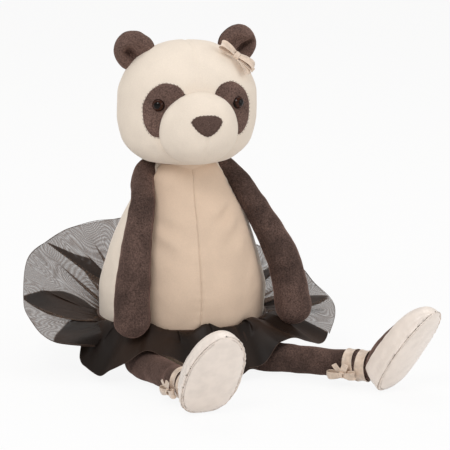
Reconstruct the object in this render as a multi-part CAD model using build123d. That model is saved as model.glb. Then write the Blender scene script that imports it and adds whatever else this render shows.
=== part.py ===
"""A seated plush panda ballerina, 33 cm from ears to heels when laid out, built like the sewn toy.

Fabric covers are thin shells, each filled by its own stuffing solid. Millimetres, +Z up. The panda
sits on the plane z = 0 and looks along -Y, so its left side is +X. The origin is the middle of the
flat face that it sits on. Every angle called a heading is measured from -Y, positive towards +X.
"""
from build123d import *
from math import cos, sin, radians, pi, sqrt
import os

# fabrics and clearances
plush = 1.2                 # thickness of the plush covers
satin = 0.8                 # thickness of shoe satin and ribbon
organza = 0.8               # thickness given to one organza layer
fill_gap = 0.2              # between a cover and the stuffing in it
joint_gap = 0.3             # between two bodies that move past each other

# torso
seat_half_width = 34.0
belly_height = 46.0
belly_half_width = 50.5
belly_half_depth = 47.5
belly_lean = 6.0            # how far the middle of the belly is in front of the origin
chest_height = 96.0
chest_half_width = 33.5
neck_height = 122.0         # top of the torso cover
neck_half_width = 17.2
neck_lean = 14.0
belly_panel_angle = 68.0    # the front panels reach this far round from the front seam
seat_panel_height = 4.0     # the round base panel turns up to this height
bean_pouch_radius = 26.0
bean_pouch_height = 17.0
pouch_cloth = 0.6

# neck and head
neck_joint_height = 124.0
neck_ball_radius = 17.0
gusset_half_height = 4.2
head_centre = (0.0, -19.0, 161.0)
head_half_width = 42.0
head_half_depth = 33.5
head_half_height = 36.8
# height above the middle and width of each level of the head, as shares: a narrow crown and full cheeks
head_levels = [(-0.985, 0.38), (-0.86, 0.71), (-0.55, 0.935), (-0.2, 0.995), (0.15, 0.99),
               (0.48, 0.89), (0.72, 0.71), (0.9, 0.45), (0.99, 0.15)]
muzzle_centre = (0.0, -46.0, 150.0)
muzzle_half_width = 23.8
muzzle_half_depth = 22.5
muzzle_half_height = 21.8
nose_height = 153.5         # height of the middle of the nose
nose_half_width = 8.8
nose_half_height = 6.4
nose_thickness = 1.6
eye_spread = 23.8           # each eye's distance from the middle
eye_height = 163.0
eye_radius = 3.8
eye_dome = 2.6              # how far the eye stands out of its patch
eye_shank_radius = 1.5
eye_shank_length = 9.0
washer_radius = 5.0
washer_thickness = 1.2
washer_depth = 2.6          # from the face's surface to the middle of the washer
patch_half_width = 14.0
patch_half_height = 18.0
patch_tilt = 24.0           # outward lean of the top of the left patch, degrees
patch_thickness = 0.8
ear_spread = 32.0
ear_height = 194.0
ear_setback = 8.0           # behind the middle of the head
ear_radius = 12.8
ear_half_thickness = 4.6
ear_scoop = 9.4             # radius of the hollow in the front of the ear

# bows
ear_bow_place = (31.0, -33.0, 186.5)
ear_bow_loop = 7.0          # half length of one loop
ear_bow_width = 7.5         # width of the ribbon
ankle_bow_loop = 4.6
ankle_bow_width = 4.0
ribbon = 0.6                # thickness of the ribbon

# arms: the middle line of each, from the shoulder to the middle of the paw, and its radii
shoulder_spread = 26.5
shoulder_depth = 15.0       # in front of the origin
shoulder_height = 117.0
shoulder_ball_radius = 3.4
right_arm_line = [(-31.0, -34.5, 104.0), (-36.0, -43.0, 82.0), (-40.0, -48.8, 58.0), (-41.3, -50.0, 37.5)]
left_arm_line = [(38.5, -20.5, 102.5), (48.5, -25.5, 84.5), (57.5, -32.0, 60.0), (60.8, -37.5, 37.0)]
arm_radii = [6.2, 7.0, 8.4, 10.0, 10.4]
end_ring = 65.0             # the last full ring of a round end, degrees up from its widest ring

# legs and feet
hip_spread = 34.5
hip_depth = 38.0
hip_height = 9.6
hip_radius = 8.6
ankle_height = 12.6
ankle_radius = 7.8
leg_length = 82.0           # from the hip to the ankle joint
right_leg_heading = 10.0    # this leg lies a little inwards
left_leg_heading = 44.0
right_foot_turnout = 1.0    # how much further out each foot points than its leg
left_foot_turnout = -6.5
foot_point = 34.0           # how far the toes lean forward from upright
sole_length = 60.0
sole_half_width = 17.2
foot_depth = 20.0           # from the sole to the top of the instep
ankle_to_sole = 14.0
foot_travel = 15.0          # degrees that the foot points and lifts at the ankle
heel_drop = 4.7             # how far the heel reaches past the ankle along the sole
shoe_opening = 10.5         # the shoe's edge stands this far above the sole
sole_bulge = 1.6            # thickness of the padded sole panel
ankle_band_width = 5.4
ankle_band_spacing = 7.4
ankle_band_offset = 4.2     # first band, measured up the leg from the ankle

# tutu
waist_back_height = 31.0
waist_front_height = 28.0
waistband_height = 4.0
layer_drop = 5.0            # the under layer's hem hangs this much lower
# heading, radius and height of the hem where a fold of the skirt turns
back_hem = [(74, 90, 19), (88, 97, 33), (103, 90, 36), (118, 97, 52), (134, 90, 50),
            (150, 96, 65), (165, 90, 60), (180, 96, 71), (196, 90, 66), (212, 96, 68),
            (228, 92, 63), (244, 96, 58), (259, 95, 45), (272, 96, 38), (284, 92, 23)]
right_hem = [(286, 68, 21), (292, 74, 12), (300, 75, 7), (308, 73, 7), (315, 71, 11), (323, 68, 19), (335, 61, 23)]
centre_hem = [(337, 60, 22), (349, 62, 22), (361, 62, 20), (373, 64, 8), (385, 66, 5)]
left_hem = [(387, 67, 8), (393, 70, 12), (399, 74, 20), (406, 77, 22.5), (413, 81, 20), (422, 85, 15), (433, 89, 17)]


def shell(form, thickness):
    """A hollow solid between a form and the same form set in by the thickness."""
    return form(0.0) - form(thickness)


def ellipsoid(centre, half_x, half_y, half_z):
    return Pos(*centre) * scale(Sphere(1.0), by=(half_x, half_y, half_z))


def oval(half_width, half_depth, count=8):
    """A smooth oval face through a few points, which keeps the lofts between ovals light."""
    turns = [2 * pi * k / count for k in range(count)]
    return make_face(Spline(*[(half_width * cos(a), half_depth * sin(a)) for a in turns], periodic=True))


def heading_vector(heading):
    return Vector(sin(radians(heading)), -cos(radians(heading)), 0)


def wedge(first, last, reach=160.0):
    """The upright wedge of space between two headings, up to 180 degrees apart."""
    count = 6
    rim = [heading_vector(first + (last - first) * i / count) * reach for i in range(count + 1)]
    outline = make_face(Polyline((0, 0, 0), *rim, close=True))
    return extrude(outline, amount=2 * reach)


# ---------------------------------------------------------------- torso

def torso_rows():
    """Height, half width, half depth and lean of each level of the pear-shaped torso."""
    seat_depth = seat_half_width * 0.88
    top = neck_height - chest_height
    return [
        (0.0, seat_half_width, seat_depth, 0.0),
        (0.11 * belly_height, belly_half_width - 8.5, belly_half_depth - 10, 0.17 * belly_lean),
        (0.30 * belly_height, belly_half_width - 3.5, belly_half_depth - 5, 0.42 * belly_lean),
        (0.61 * belly_height, belly_half_width - 0.5, belly_half_depth - 1.5, 0.75 * belly_lean),
        (belly_height, belly_half_width, belly_half_depth, belly_lean),
        (0.5 * (belly_height + chest_height), 0.53 * (belly_half_width + chest_half_width),
         0.53 * (belly_half_depth + 0.89 * chest_half_width), 0.45 * (belly_lean + neck_lean)),
        (chest_height, chest_half_width, 0.89 * chest_half_width, 0.82 * neck_lean),
        (chest_height + 0.56 * top, 0.67 * chest_half_width, 0.64 * chest_half_width, 0.95 * neck_lean),
        (chest_height + 0.86 * top, 0.56 * chest_half_width, 0.53 * chest_half_width, neck_lean),
        (neck_height, neck_half_width, neck_half_width - 1.0, neck_lean),
    ]


def torso_form(inset):
    rows = torso_rows()
    levels = []
    for i, (z, half_width, half_depth, lean) in enumerate(rows):
        z += inset if i == 0 else -inset if i == len(rows) - 1 else 0.0
        levels.append(Plane(origin=(0, -lean, z)) * oval(half_width - inset, half_depth - inset))
    return loft(levels)


def torso_level(height):
    """Half width, half depth and lean of the torso at a height, between the rows."""
    rows = torso_rows()
    for low, high in zip(rows, rows[1:]):
        if low[0] <= height <= high[0]:
            share = (height - low[0]) / (high[0] - low[0])
            return [a + (b - a) * share for a, b in zip(low[1:], high[1:])]
    raise ValueError("height is outside the torso")


def shoulder(side):
    return Vector(side * shoulder_spread, -shoulder_depth, shoulder_height)


def hip(side):
    return Vector(side * hip_spread, -hip_depth, hip_height)


neck_joint = Vector(0, -neck_lean, neck_joint_height)


def neck_ball(grow=0.0):
    return Pos(*neck_joint) * Sphere(neck_ball_radius + grow)


def torso_pockets():
    """The space that the neck, the arms and the legs keep free in the torso."""
    pockets = neck_ball(joint_gap)
    for side in (-1, 1):
        pockets += Pos(*shoulder(side)) * Sphere(arm_radii[0] + 2 * joint_gap)
        pockets += Pos(*hip(side)) * Sphere(hip_radius + 4 * joint_gap)
    return pockets


def bean_pouch(inset):
    centre = (0, 0, plush + 2 * fill_gap + 0.5 * bean_pouch_height)
    return ellipsoid(centre, bean_pouch_radius - inset, bean_pouch_radius - inset,
                     0.5 * bean_pouch_height - inset)


def torso_nodes():
    cover = shell(torso_form, plush) - torso_pockets()
    base = Pos(0, 0, 0.5 * seat_panel_height) * Box(300, 300, seat_panel_height)
    upper = cover - base
    edge = belly_panel_angle
    return {
        "seat_panel": cover & base,
        "belly_panel_right": upper & wedge(-edge, 0),
        "belly_panel_left": upper & wedge(0, edge),
        "back_panel_right": upper & wedge(180, 360 - edge),
        "back_panel_left": upper & wedge(edge, 180),
        "torso_stuffing": torso_form(plush + fill_gap) - torso_pockets() - bean_pouch(-fill_gap),
        "bean_pouch": bean_pouch(0) - bean_pouch(pouch_cloth),
        "bean_pellets": bean_pouch(pouch_cloth + fill_gap),
    }


def neck_nodes():
    zone = Pos(*neck_joint) * Box(60, 60, 2 * gusset_half_height)
    return {
        "neck_gusset": (neck_ball() - neck_ball(-plush)) & zone,
        "neck_stuffing": neck_ball(-plush - fill_gap),
    }


# ---------------------------------------------------------------- head

def head_form(inset):
    x, y, z = head_centre
    quarter = Rot(0, 0, 90)     # brings the loft's own edge to the back of the head
    return loft([Plane(origin=(x, y, z + rise * (head_half_height - inset))) * quarter
                 * oval(wide * (head_half_depth - inset), wide * (head_half_width - inset))
                 for rise, wide in head_levels])


def head_share(height):
    """How wide the head is at a height, as a share of its greatest width."""
    rise = (height - head_centre[2]) / head_half_height
    for low, high in zip(head_levels, head_levels[1:]):
        if low[0] <= rise <= high[0]:
            return low[1] + (high[1] - low[1]) * (rise - low[0]) / (high[0] - low[0])
    raise ValueError("height is outside the head")


def muzzle_form(inset):
    return ellipsoid(muzzle_centre, muzzle_half_width - inset, muzzle_half_depth - inset,
                     muzzle_half_height - inset)


def eye_plane(side):
    """The plane on the face under one eye, facing out of the head."""
    share = head_share(eye_height)
    depth = head_half_depth * sqrt(share ** 2 - (eye_spread / head_half_width) ** 2)
    normal = Vector(side * eye_spread / head_half_width ** 2, -depth / head_half_depth ** 2, 0).normalized()
    spot = Vector(side * eye_spread, head_centre[1] - depth, eye_height)
    return Plane(origin=spot, x_dir=Vector(-normal.Y, normal.X, 0), z_dir=normal)


def patch_outline(side):
    """The patch reaches from above the eye down and out to the cheek."""
    centre = Pos(side * 1.0, -2.0) * Rot(0, 0, -side * patch_tilt)
    return centre * Ellipse(patch_half_height, patch_half_width).rotate(Axis.Z, 90)


def eye_hole(side, grow=0.0):
    return eye_plane(side) * Cylinder(eye_shank_radius + grow, 2 * eye_shank_length + 10)


def eye_nodes(side, name):
    face = eye_plane(side)
    layer = head_form(-patch_thickness) - head_form(0.0) - muzzle_form(0.0)
    prism = face * extrude(patch_outline(side), amount=18, both=True)
    seat = patch_thickness
    cap_radius = (eye_radius ** 2 + eye_dome ** 2) / (2 * eye_dome)
    cap = Pos(0, 0, eye_dome - cap_radius) * Sphere(cap_radius)
    dome = cap & (Pos(0, 0, 5) * Box(30, 30, 10))
    shank = Pos(0, 0, -0.5 * eye_shank_length) * Cylinder(eye_shank_radius, eye_shank_length)
    eye = face * Pos(0, 0, seat) * (dome + shank)
    flange = Pos(0, 0, -washer_depth) * Cylinder(washer_radius, washer_thickness)
    washer = face * flange - eye_hole(side)
    patch = (layer & prism) - eye_hole(side) - eye
    return {"eye_patch_" + name: patch, "eye_" + name: eye, "eye_washer_" + name: washer}


def washer_room(side):
    """The space in the stuffing round one eye's shank and washer."""
    flange = Pos(0, 0, -washer_depth) * Cylinder(washer_radius + fill_gap, washer_thickness + 2 * fill_gap)
    shank = Pos(0, 0, -0.5 * eye_shank_length)
    shank *= Cylinder(eye_shank_radius + fill_gap, eye_shank_length + 2)
    return eye_plane(side) * (flange + shank)


def nose_node():
    outline = make_face(Spline(
        (-nose_half_width, 0.35 * nose_half_height), (-0.7 * nose_half_width, nose_half_height),
        (0, 0.86 * nose_half_height), (0.7 * nose_half_width, nose_half_height),
        (nose_half_width, 0.35 * nose_half_height), (0.35 * nose_half_width, -0.7 * nose_half_height),
        (0, -nose_half_height), (-0.35 * nose_half_width, -0.7 * nose_half_height), periodic=True))
    front = Plane(origin=(0, muzzle_centre[1], nose_height), x_dir=(1, 0, 0), z_dir=(0, -1, 0))
    prism = front * extrude(outline, amount=2 * muzzle_half_depth)
    return (muzzle_form(-nose_thickness) - muzzle_form(0.0)) & prism


def ear_nodes(side, name):
    centre = (side * ear_spread, head_centre[1] + ear_setback, ear_height)
    disc = ellipsoid((0, 0, 0), ear_radius, ear_half_thickness, ear_radius)
    scoop = ellipsoid((0, -ear_half_thickness, 0), ear_scoop, 0.75 * ear_half_thickness, ear_scoop)
    ear = Pos(*centre) * (disc - scoop) - head_form(0.0)
    half = Pos(centre[0], centre[1] + 20, centre[2]) * Box(60, 40, 60)
    return {"ear_back_" + name: ear & half, "ear_front_" + name: ear - half}


def head_nodes():
    collar = neck_ball(joint_gap)
    cover = shell(head_form, plush) - muzzle_form(0.0) - collar
    muzzle = shell(muzzle_form, plush) - head_form(plush)
    stuffing = head_form(plush + fill_gap) + muzzle_form(plush + fill_gap) - collar
    for side in (-1, 1):
        cover -= eye_hole(side)
        stuffing -= washer_room(side)
    half = Pos(150, 0, 150) * Box(300, 300, 400)
    nodes = {
        "head_cover_left": cover & half,
        "head_cover_right": cover - half,
        "muzzle_cover": muzzle,
        "head_stuffing": stuffing,
        "nose": nose_node(),
    }
    for side, name in ((-1, "right"), (1, "left")):
        nodes |= eye_nodes(side, name) | ear_nodes(side, name)
    return nodes


# ---------------------------------------------------------------- bows

def ribbon_loop(half_length, width):
    """One loop of ribbon along +X from the origin, its width along Y."""
    ring = Ellipse(half_length, 0.55 * half_length) - Ellipse(half_length - ribbon, 0.55 * half_length - ribbon)
    loop = extrude(ring, amount=0.5 * width, both=True)
    return Pos(half_length + 0.2 * width, 0, 0) * Rot(90, 0, 0) * loop


def ribbon_tail(length, width):
    """One tail of ribbon along +X from the origin, its width along Y."""
    return Pos(0.5 * length, 0, 0) * Box(length, width, ribbon)


def bow_pieces(half_length, width, tail):
    """The knot, the two loops and the two tails of a bow in its own frame, facing +Z."""
    knot = scale(Sphere(1.0), by=(0.34 * width, 0.45 * width, 0.3 * width))
    loops = ribbon_loop(half_length, width) + Rot(0, 0, 180) * ribbon_loop(half_length, width) - knot
    tails = Rot(0, 0, -62) * ribbon_tail(tail, 0.7 * width) + Rot(0, 0, -118) * ribbon_tail(tail, 0.7 * width)
    tails = Pos(0, 0, -0.22 * width) * tails - knot - loops
    return knot, loops, tails


def ear_bow_nodes():
    knot, loops, tails = bow_pieces(ear_bow_loop, ear_bow_width, 15.0)
    place = Location(ear_bow_place, (62, 0, 18))
    keep_out = head_form(-patch_thickness - fill_gap) + ellipsoid(
        (ear_spread, head_centre[1] + ear_setback, ear_height), ear_radius, ear_half_thickness, ear_radius)
    return {
        "ear_bow_knot": place * knot - keep_out,
        "ear_bow_loops": place * loops - keep_out,
        "ear_bow_tails": place * tails - keep_out,
    }


# ---------------------------------------------------------------- arms and legs

def limb(points, radii, inset=0.0):
    """A tube along a smooth line through the points, with a round end about each end point."""
    line = Spline(*points)
    rings = []
    for i, (point, radius) in enumerate(zip(points, radii)):
        along = line % line.param_at_point(Vector(point)) if 0 < i < len(points) - 1 else line % (0 if i == 0 else 1)
        rings.append((Vector(point), along, radius - inset))
    offset, share = sin(radians(end_ring)), cos(radians(end_ring))
    start, end = rings[0], rings[-1]
    rings.insert(0, (start[0] - start[1] * start[2] * offset, start[1], start[2] * share))
    rings.append((end[0] + end[1] * end[2] * offset, end[1], end[2] * share))
    across = Vector(1, 0, 0.2)
    return loft([Plane(origin=spot, x_dir=across - along * across.dot(along), z_dir=along) * oval(radius, radius)
                 for spot, along, radius in rings])


def arm_nodes(side, name, line):
    points = [tuple(shoulder(side)), *line]
    pivot = Pos(*shoulder(side))
    hollow = pivot * Sphere(shoulder_ball_radius + joint_gap)
    return {
        "arm_cover_" + name: limb(points, arm_radii) - limb(points, arm_radii, plush) - hollow,
        "arm_stuffing_" + name: limb(points, arm_radii, plush + fill_gap) - hollow,
        "shoulder_knot_" + name: pivot * Sphere(shoulder_ball_radius),
    }


def ankle(side, heading):
    flat = sqrt(leg_length ** 2 - (ankle_height - hip_height) ** 2)
    return hip(side) + heading_vector(heading) * flat + Vector(0, 0, ankle_height - hip_height)


def foot_plane(side, heading):
    """The foot's own frame: X across, Y from heel to toe and Z out of the sole, on the heel end of it."""
    turnout = right_foot_turnout if side < 0 else left_foot_turnout
    forward = heading_vector(heading + side * turnout)
    toes = Vector(0, 0, cos(radians(foot_point))) + forward * sin(radians(foot_point))
    outward = forward * cos(radians(foot_point)) - Vector(0, 0, sin(radians(foot_point)))
    heel = ankle(side, heading) + outward * ankle_to_sole - toes * heel_drop
    return Plane(origin=heel, x_dir=toes.cross(outward), z_dir=outward)


# share of the sole's length, of its half width and of the foot's depth at each ring of the foot
foot_rings = [(0.012, 0.36, 0.35), (0.05, 0.62, 0.70), (0.13, 0.83, 0.95), (0.27, 0.96, 1.0),
              (0.47, 1.0, 0.92), (0.67, 0.92, 0.77), (0.83, 0.72, 0.60), (0.93, 0.48, 0.42),
              (0.988, 0.2, 0.2)]


def foot_form(inset):
    """The foot in its own frame, with the sole on z = 0 and the instep below it."""
    rings = []
    for along, width, depth in foot_rings:
        place = Plane(origin=(0, inset + along * (sole_length - 2 * inset), 0), x_dir=(1, 0, 0), z_dir=(0, 1, 0))
        rings.append(place * oval(width * (sole_half_width - inset), depth * (foot_depth - inset)))
    return loft(rings)


def below(height, reach=100.0):
    """The half of the foot's frame below a height, which is on the instep's side."""
    return Pos(0, 0, height - reach) * Box(4 * reach, 4 * reach, 2 * reach)


def ankle_bow(axis_point, along):
    """A small bow on the low outer side of the ankle, its loops along the leg."""
    side = Vector(0, 0, 1).cross(along).normalized()
    side = side if side.X < 0 else side * -1
    facing = (side * cos(radians(35)) - Vector(0, 0, sin(radians(35)))).normalized()
    spot = axis_point + facing * (ankle_radius + satin + 1.6)
    knot, loops, tails = bow_pieces(ankle_bow_loop, ankle_bow_width, 8.0)
    frame = Plane(origin=spot, x_dir=along * side.dot(Vector(0, 0, 1).cross(along)), z_dir=facing)
    return frame * Compound(children=[*knot.solids(), *loops.solids(), *tails.solids()])


def ankle_room(pivot, along, axis):
    """The space that the ankle and its ribbons keep free in the foot as the foot points and lifts."""
    radius = ankle_radius + satin + 2 * joint_gap
    room = Pos(*pivot) * Sphere(radius)
    for angle in (-foot_travel, 0, foot_travel):
        lean = along.rotate(Axis((0, 0, 0), axis), angle)
        room += Plane(origin=pivot + lean * 12, z_dir=lean) * Cylinder(radius, 24)
    return room


def leg_nodes(side, name, heading):
    start, end = hip(side), ankle(side, heading)
    points = [tuple(start), tuple((start + end) * 0.5), tuple(end)]
    radii = [hip_radius, 0.5 * (hip_radius + ankle_radius), ankle_radius]
    along = (start - end).normalized()
    leg = limb(points, radii)
    wrap = limb(points, radii, -satin) - leg
    bands = []
    for turn in range(2):
        middle = end + along * (ankle_band_offset + turn * ankle_band_spacing)
        slab = Plane(origin=middle, z_dir=along) * Box(60, 60, ankle_band_width)
        bands.append(wrap & slab)
    bow = ankle_bow(end + along * (ankle_band_offset + ankle_band_spacing), along)
    bow -= limb(points, radii, -satin - fill_gap)
    foot = foot_plane(side, heading)
    socket = ankle_room(end, along, foot.x_dir)
    cover = foot * ((foot_form(0.0) - foot_form(plush)) & below(0.0)) - socket
    opening = foot * below(-shoe_opening)
    return {
        "leg_cover_" + name: leg - limb(points, radii, plush),
        "leg_stuffing_" + name: limb(points, radii, plush + fill_gap),
        "ankle_ribbon_lower_" + name: bands[0],
        "ankle_ribbon_upper_" + name: bands[1],
        "ankle_bow_" + name: bow,
        "instep_cover_" + name: cover & opening,
        "shoe_upper_" + name: cover - opening,
        "shoe_sole_" + name: foot * (scale(foot_form(0.0), by=(1, 1, sole_bulge / foot_depth)) - below(0.0)),
        "foot_stuffing_" + name: foot * (foot_form(plush + fill_gap) & below(-fill_gap)) - socket,
    }


# ---------------------------------------------------------------- tutu

def hem_at(hem, heading):
    """Radius and height of the hem at a heading, on a smooth line through its turning points."""
    for (a, radius_a, height_a), (b, radius_b, height_b) in zip(hem, hem[1:]):
        if a <= heading <= b:
            share = 0.5 - 0.5 * cos(pi * (heading - a) / (b - a))
            return radius_a + (radius_b - radius_a) * share, height_a + (height_b - height_a) * share
    raise ValueError("heading is outside the hem")


def skirt_point(hem, heading, share, drop):
    """A point of the skirt, from the waist at share 0 to the hem at share 1."""
    turn = radians(heading)
    waist = 0.5 * (waist_back_height + waist_front_height - (waist_back_height - waist_front_height) * cos(turn))
    half_width, half_depth, lean = torso_level(waist)
    off = plush + 4 * fill_gap
    radius, height = hem_at(hem, heading)
    if drop:
        waist -= organza + joint_gap
        height -= drop
    inner = Vector((half_width + off) * sin(turn), -lean - (half_depth + off) * cos(turn), waist)
    outer = Vector(radius * sin(turn), -0.5 * belly_lean - radius * cos(turn), height)
    fall = share ** 1.6 if height < waist else share
    flat = inner + (outer - inner) * share
    return Vector(flat.X, flat.Y, waist + (height - waist) * fall - 0.4 * drop * sin(pi * share))


def skirt(hem, drop=0.0, columns_per_turn=3, rows=4):
    """One gathered piece of organza between its waist and its hem."""
    headings = [a[0] + (b[0] - a[0]) * k / columns_per_turn
                for a, b in zip(hem, hem[1:]) for k in range(columns_per_turn)] + [hem[-1][0]]
    grid = [[skirt_point(hem, heading, row / (rows - 1), drop) for row in range(rows)]
            for heading in headings]
    sheet = Face.make_surface_from_array_of_points(grid)
    return extrude(sheet, amount=organza, dir=(0, 0, 1))


def tutu_nodes():
    tilt = Rot(2.0 * (waist_back_height - waist_front_height) / (2 * belly_half_depth) * 90 / pi, 0, 0)
    middle = 0.5 * (waist_back_height + waist_front_height)
    slab = Pos(0, 0, middle) * tilt * Box(300, 300, waistband_height)
    return {
        "tutu_waistband": (torso_form(-plush) - torso_form(0.0)) & slab,
        "tutu_back_outer": skirt(back_hem, 0.0, 4),
        "tutu_back_inner": skirt(back_hem, layer_drop, 4),
        "tutu_flap_right": skirt(right_hem),
        "tutu_flap_centre": skirt(centre_hem),
        "tutu_flap_left": skirt(left_hem),
    }


nodes = torso_nodes() | neck_nodes() | head_nodes() | ear_bow_nodes() | tutu_nodes()
for side, name, line, heading in ((-1, "right", right_arm_line, right_leg_heading),
                                  (1, "left", left_arm_line, left_leg_heading)):
    nodes |= arm_nodes(side, name, line) | leg_nodes(side, name, heading)

os.makedirs("parts", exist_ok=True)
for name, node in nodes.items():
    export_step(node, f"parts/{name}.step")
print(len(nodes), "nodes")
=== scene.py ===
"""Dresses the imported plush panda: sewn velour covers, satin shoes and ribbons, and an organza skirt.

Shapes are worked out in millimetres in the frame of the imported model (+Z up, the toy looks along -Y,
its left side is +X) and become metres where a mesh is made. Headings are degrees from -Y towards +X.
"""

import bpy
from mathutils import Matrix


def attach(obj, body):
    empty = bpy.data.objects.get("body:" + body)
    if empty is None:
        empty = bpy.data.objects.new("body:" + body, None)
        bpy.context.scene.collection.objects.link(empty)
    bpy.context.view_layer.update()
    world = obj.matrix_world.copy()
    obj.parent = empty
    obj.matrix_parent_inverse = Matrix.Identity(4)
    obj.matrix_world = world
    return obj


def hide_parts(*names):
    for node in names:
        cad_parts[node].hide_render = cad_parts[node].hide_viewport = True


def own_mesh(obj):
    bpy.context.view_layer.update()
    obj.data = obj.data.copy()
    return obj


bl_info = {
    "name": "Plush Panda Dresser",
    "version": (1, 0, 0),
    "blender": (4, 5, 0),
    "location": "View3D > Sidebar > Panda",
    "description": "Builds the sewn covers, shoes, bows and skirt of a seated plush panda",
    "category": "Object",
}

from math import atan, cos, pi, radians, sin, sqrt

import bmesh
import bpy
import numpy as np
from bpy.props import FloatProperty, FloatVectorProperty, IntProperty, PointerProperty
from mathutils import Vector, noise
from mathutils.bvhtree import BVHTree

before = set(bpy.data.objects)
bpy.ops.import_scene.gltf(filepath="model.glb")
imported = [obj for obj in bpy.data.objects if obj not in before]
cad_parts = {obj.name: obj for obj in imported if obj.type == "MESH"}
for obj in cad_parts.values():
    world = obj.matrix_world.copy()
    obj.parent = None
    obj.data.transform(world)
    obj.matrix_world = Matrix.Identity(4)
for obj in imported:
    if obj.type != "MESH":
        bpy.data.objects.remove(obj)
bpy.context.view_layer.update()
MM = 0.001
DOUBLED = 0.02                      # points nearer than this, in mm, are one
SIDES = ((-1, "right"), (1, "left"))


# ---------------------------------------------------------------- small maths

def smooth(xs, ys, x):
    """Values at x on a smooth line through the points (xs, ys) that doesn't overshoot them."""
    xs, ys, x = (np.asarray(v, float) for v in (xs, ys, x))
    step = np.diff(xs)
    rise = np.diff(ys) / step
    slope = np.zeros(len(xs))
    turn = rise[:-1] * rise[1:] > 0
    before, after = 2 * step[1:] + step[:-1], step[1:] + 2 * step[:-1]
    safe = np.where(turn, rise[:-1], 1), np.where(turn, rise[1:], 1)
    slope[1:-1] = np.where(turn, (before + after) / (before / safe[0] + after / safe[1]), 0)
    slope[0], slope[-1] = rise[0], rise[-1]
    i = np.clip(np.searchsorted(xs, x) - 1, 0, len(step) - 1)
    t = (x - xs[i]) / step[i]
    return ((1 + 2 * t) * (1 - t) ** 2 * ys[i] + t * (1 - t) ** 2 * step[i] * slope[i]
            + t * t * (3 - 2 * t) * ys[i + 1] - t * t * (1 - t) * step[i] * slope[i + 1])


def unit(v):
    """Directions of length 1."""
    return v / np.linalg.norm(v, axis=-1, keepdims=True)


def bump(x, width):
    """1 at x = 0, falling away smoothly over the width."""
    return np.exp(-(np.asarray(x) / width) ** 2)


def ramp(x, start, end):
    """0 up to start and 1 from end on, rising smoothly between them."""
    t = np.clip((np.asarray(x, float) - start) / (end - start), 0, 1)
    return t * t * (3 - 2 * t)


def rumple(points, size, seed=0.0, detail=2):
    """Smooth noise from -1 to 1 at each point, with hills about size mm apart."""
    shift = Vector((seed * 17.3, seed * 5.1, seed * 9.7))
    flat = np.asarray(points).reshape(-1, 3) / size
    values = [noise.fractal(Vector(p) + shift, 1.0, 2.0, detail) for p in flat]
    return np.array(values).reshape(np.asarray(points).shape[:-1])


def segment_distance(points, start, end):
    """Distance from points to a line between two points, and how far along it each one is."""
    start, end = np.asarray(start, float), np.asarray(end, float)
    line = end - start
    share = np.clip(((points - start) @ line) / (line @ line), 0, 1)
    return np.linalg.norm(points - start - share[..., None] * line, axis=-1), share


# ---------------------------------------------------------------- meshes

def grid_faces(rows, columns, wrap=False, first=0):
    """Quads between the points of a grid; wrap joins the last column to the first."""
    faces = []
    for i in range(rows - 1):
        for j in range(columns if wrap else columns - 1):
            k = (j + 1) % columns
            faces.append((first + i * columns + j, first + i * columns + k,
                          first + (i + 1) * columns + k, first + (i + 1) * columns + j))
    return faces


def make_mesh(name, points, faces, material, flat_map=None):
    """An object at the origin from points in mm; flat_map is each point's place on the cut cloth."""
    mesh = bpy.data.meshes.new(name)
    mesh.from_pydata((np.asarray(points).reshape(-1, 3) * MM).tolist(), [], faces)
    mesh.polygons.foreach_set("use_smooth", [True] * len(mesh.polygons))
    if flat_map is not None:
        layer = mesh.uv_layers.new(name="cloth")
        corners = np.zeros(len(mesh.loops), np.int32)
        mesh.loops.foreach_get("vertex_index", corners)
        places = np.asarray(flat_map, np.float32).reshape(-1, 2)
        layer.data.foreach_set("uv", places[corners].ravel())
    mesh.materials.append(material)
    obj = bpy.data.objects.new(name, mesh)
    bpy.context.scene.collection.objects.link(obj)
    return obj


def grid_mesh(name, points, finish, wrap=False, flat_map=None):
    """An object from a grid of points, in one of the finishes."""
    return make_mesh(name, points, grid_faces(*points.shape[:2], wrap=wrap), FINISHES[finish], flat_map)


def close_and_turn_out(obj):
    """Merges doubled points and points every face outwards."""
    work = bmesh.new()
    work.from_mesh(obj.data)
    bmesh.ops.remove_doubles(work, verts=work.verts, dist=DOUBLED * MM)
    bmesh.ops.recalc_face_normals(work, faces=work.faces)
    work.to_mesh(obj.data)
    work.free()
    return obj


def face_away(obj, centre):
    """Turns an open panel over if it looks towards the centre."""
    faces = obj.data.polygons
    out = sum((f.center - Vector(centre) * MM).dot(f.normal) * f.area for f in faces)
    if out < 0:
        obj.data.flip_normals()
    return obj


def push(obj, amount):
    """Moves each point along its normal by amount(points, normals), in mm."""
    count = len(obj.data.vertices)
    points, normals = np.zeros(count * 3), np.zeros(count * 3)
    obj.data.vertices.foreach_get("co", points)
    obj.data.vertex_normals.foreach_get("vector", normals)
    points, normals = points.reshape(-1, 3) / MM, normals.reshape(-1, 3)
    points += normals * np.asarray(amount(points, normals))[:, None]
    obj.data.vertices.foreach_set("co", (points * MM).ravel())
    obj.data.update()
    return obj


def refine(obj):
    """Rounds a piece with one level of subdivision."""
    modifier = obj.modifiers.new("Subdivision", "SUBSURF")
    modifier.levels = modifier.render_levels = 1
    return obj


def thicken(obj, thickness):
    """Gives a ribbon its thickness in mm, half to each side."""
    modifier = obj.modifiers.new("Thickness", "SOLIDIFY")
    modifier.thickness = thickness * MM
    modifier.offset = 0
    return obj


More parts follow.
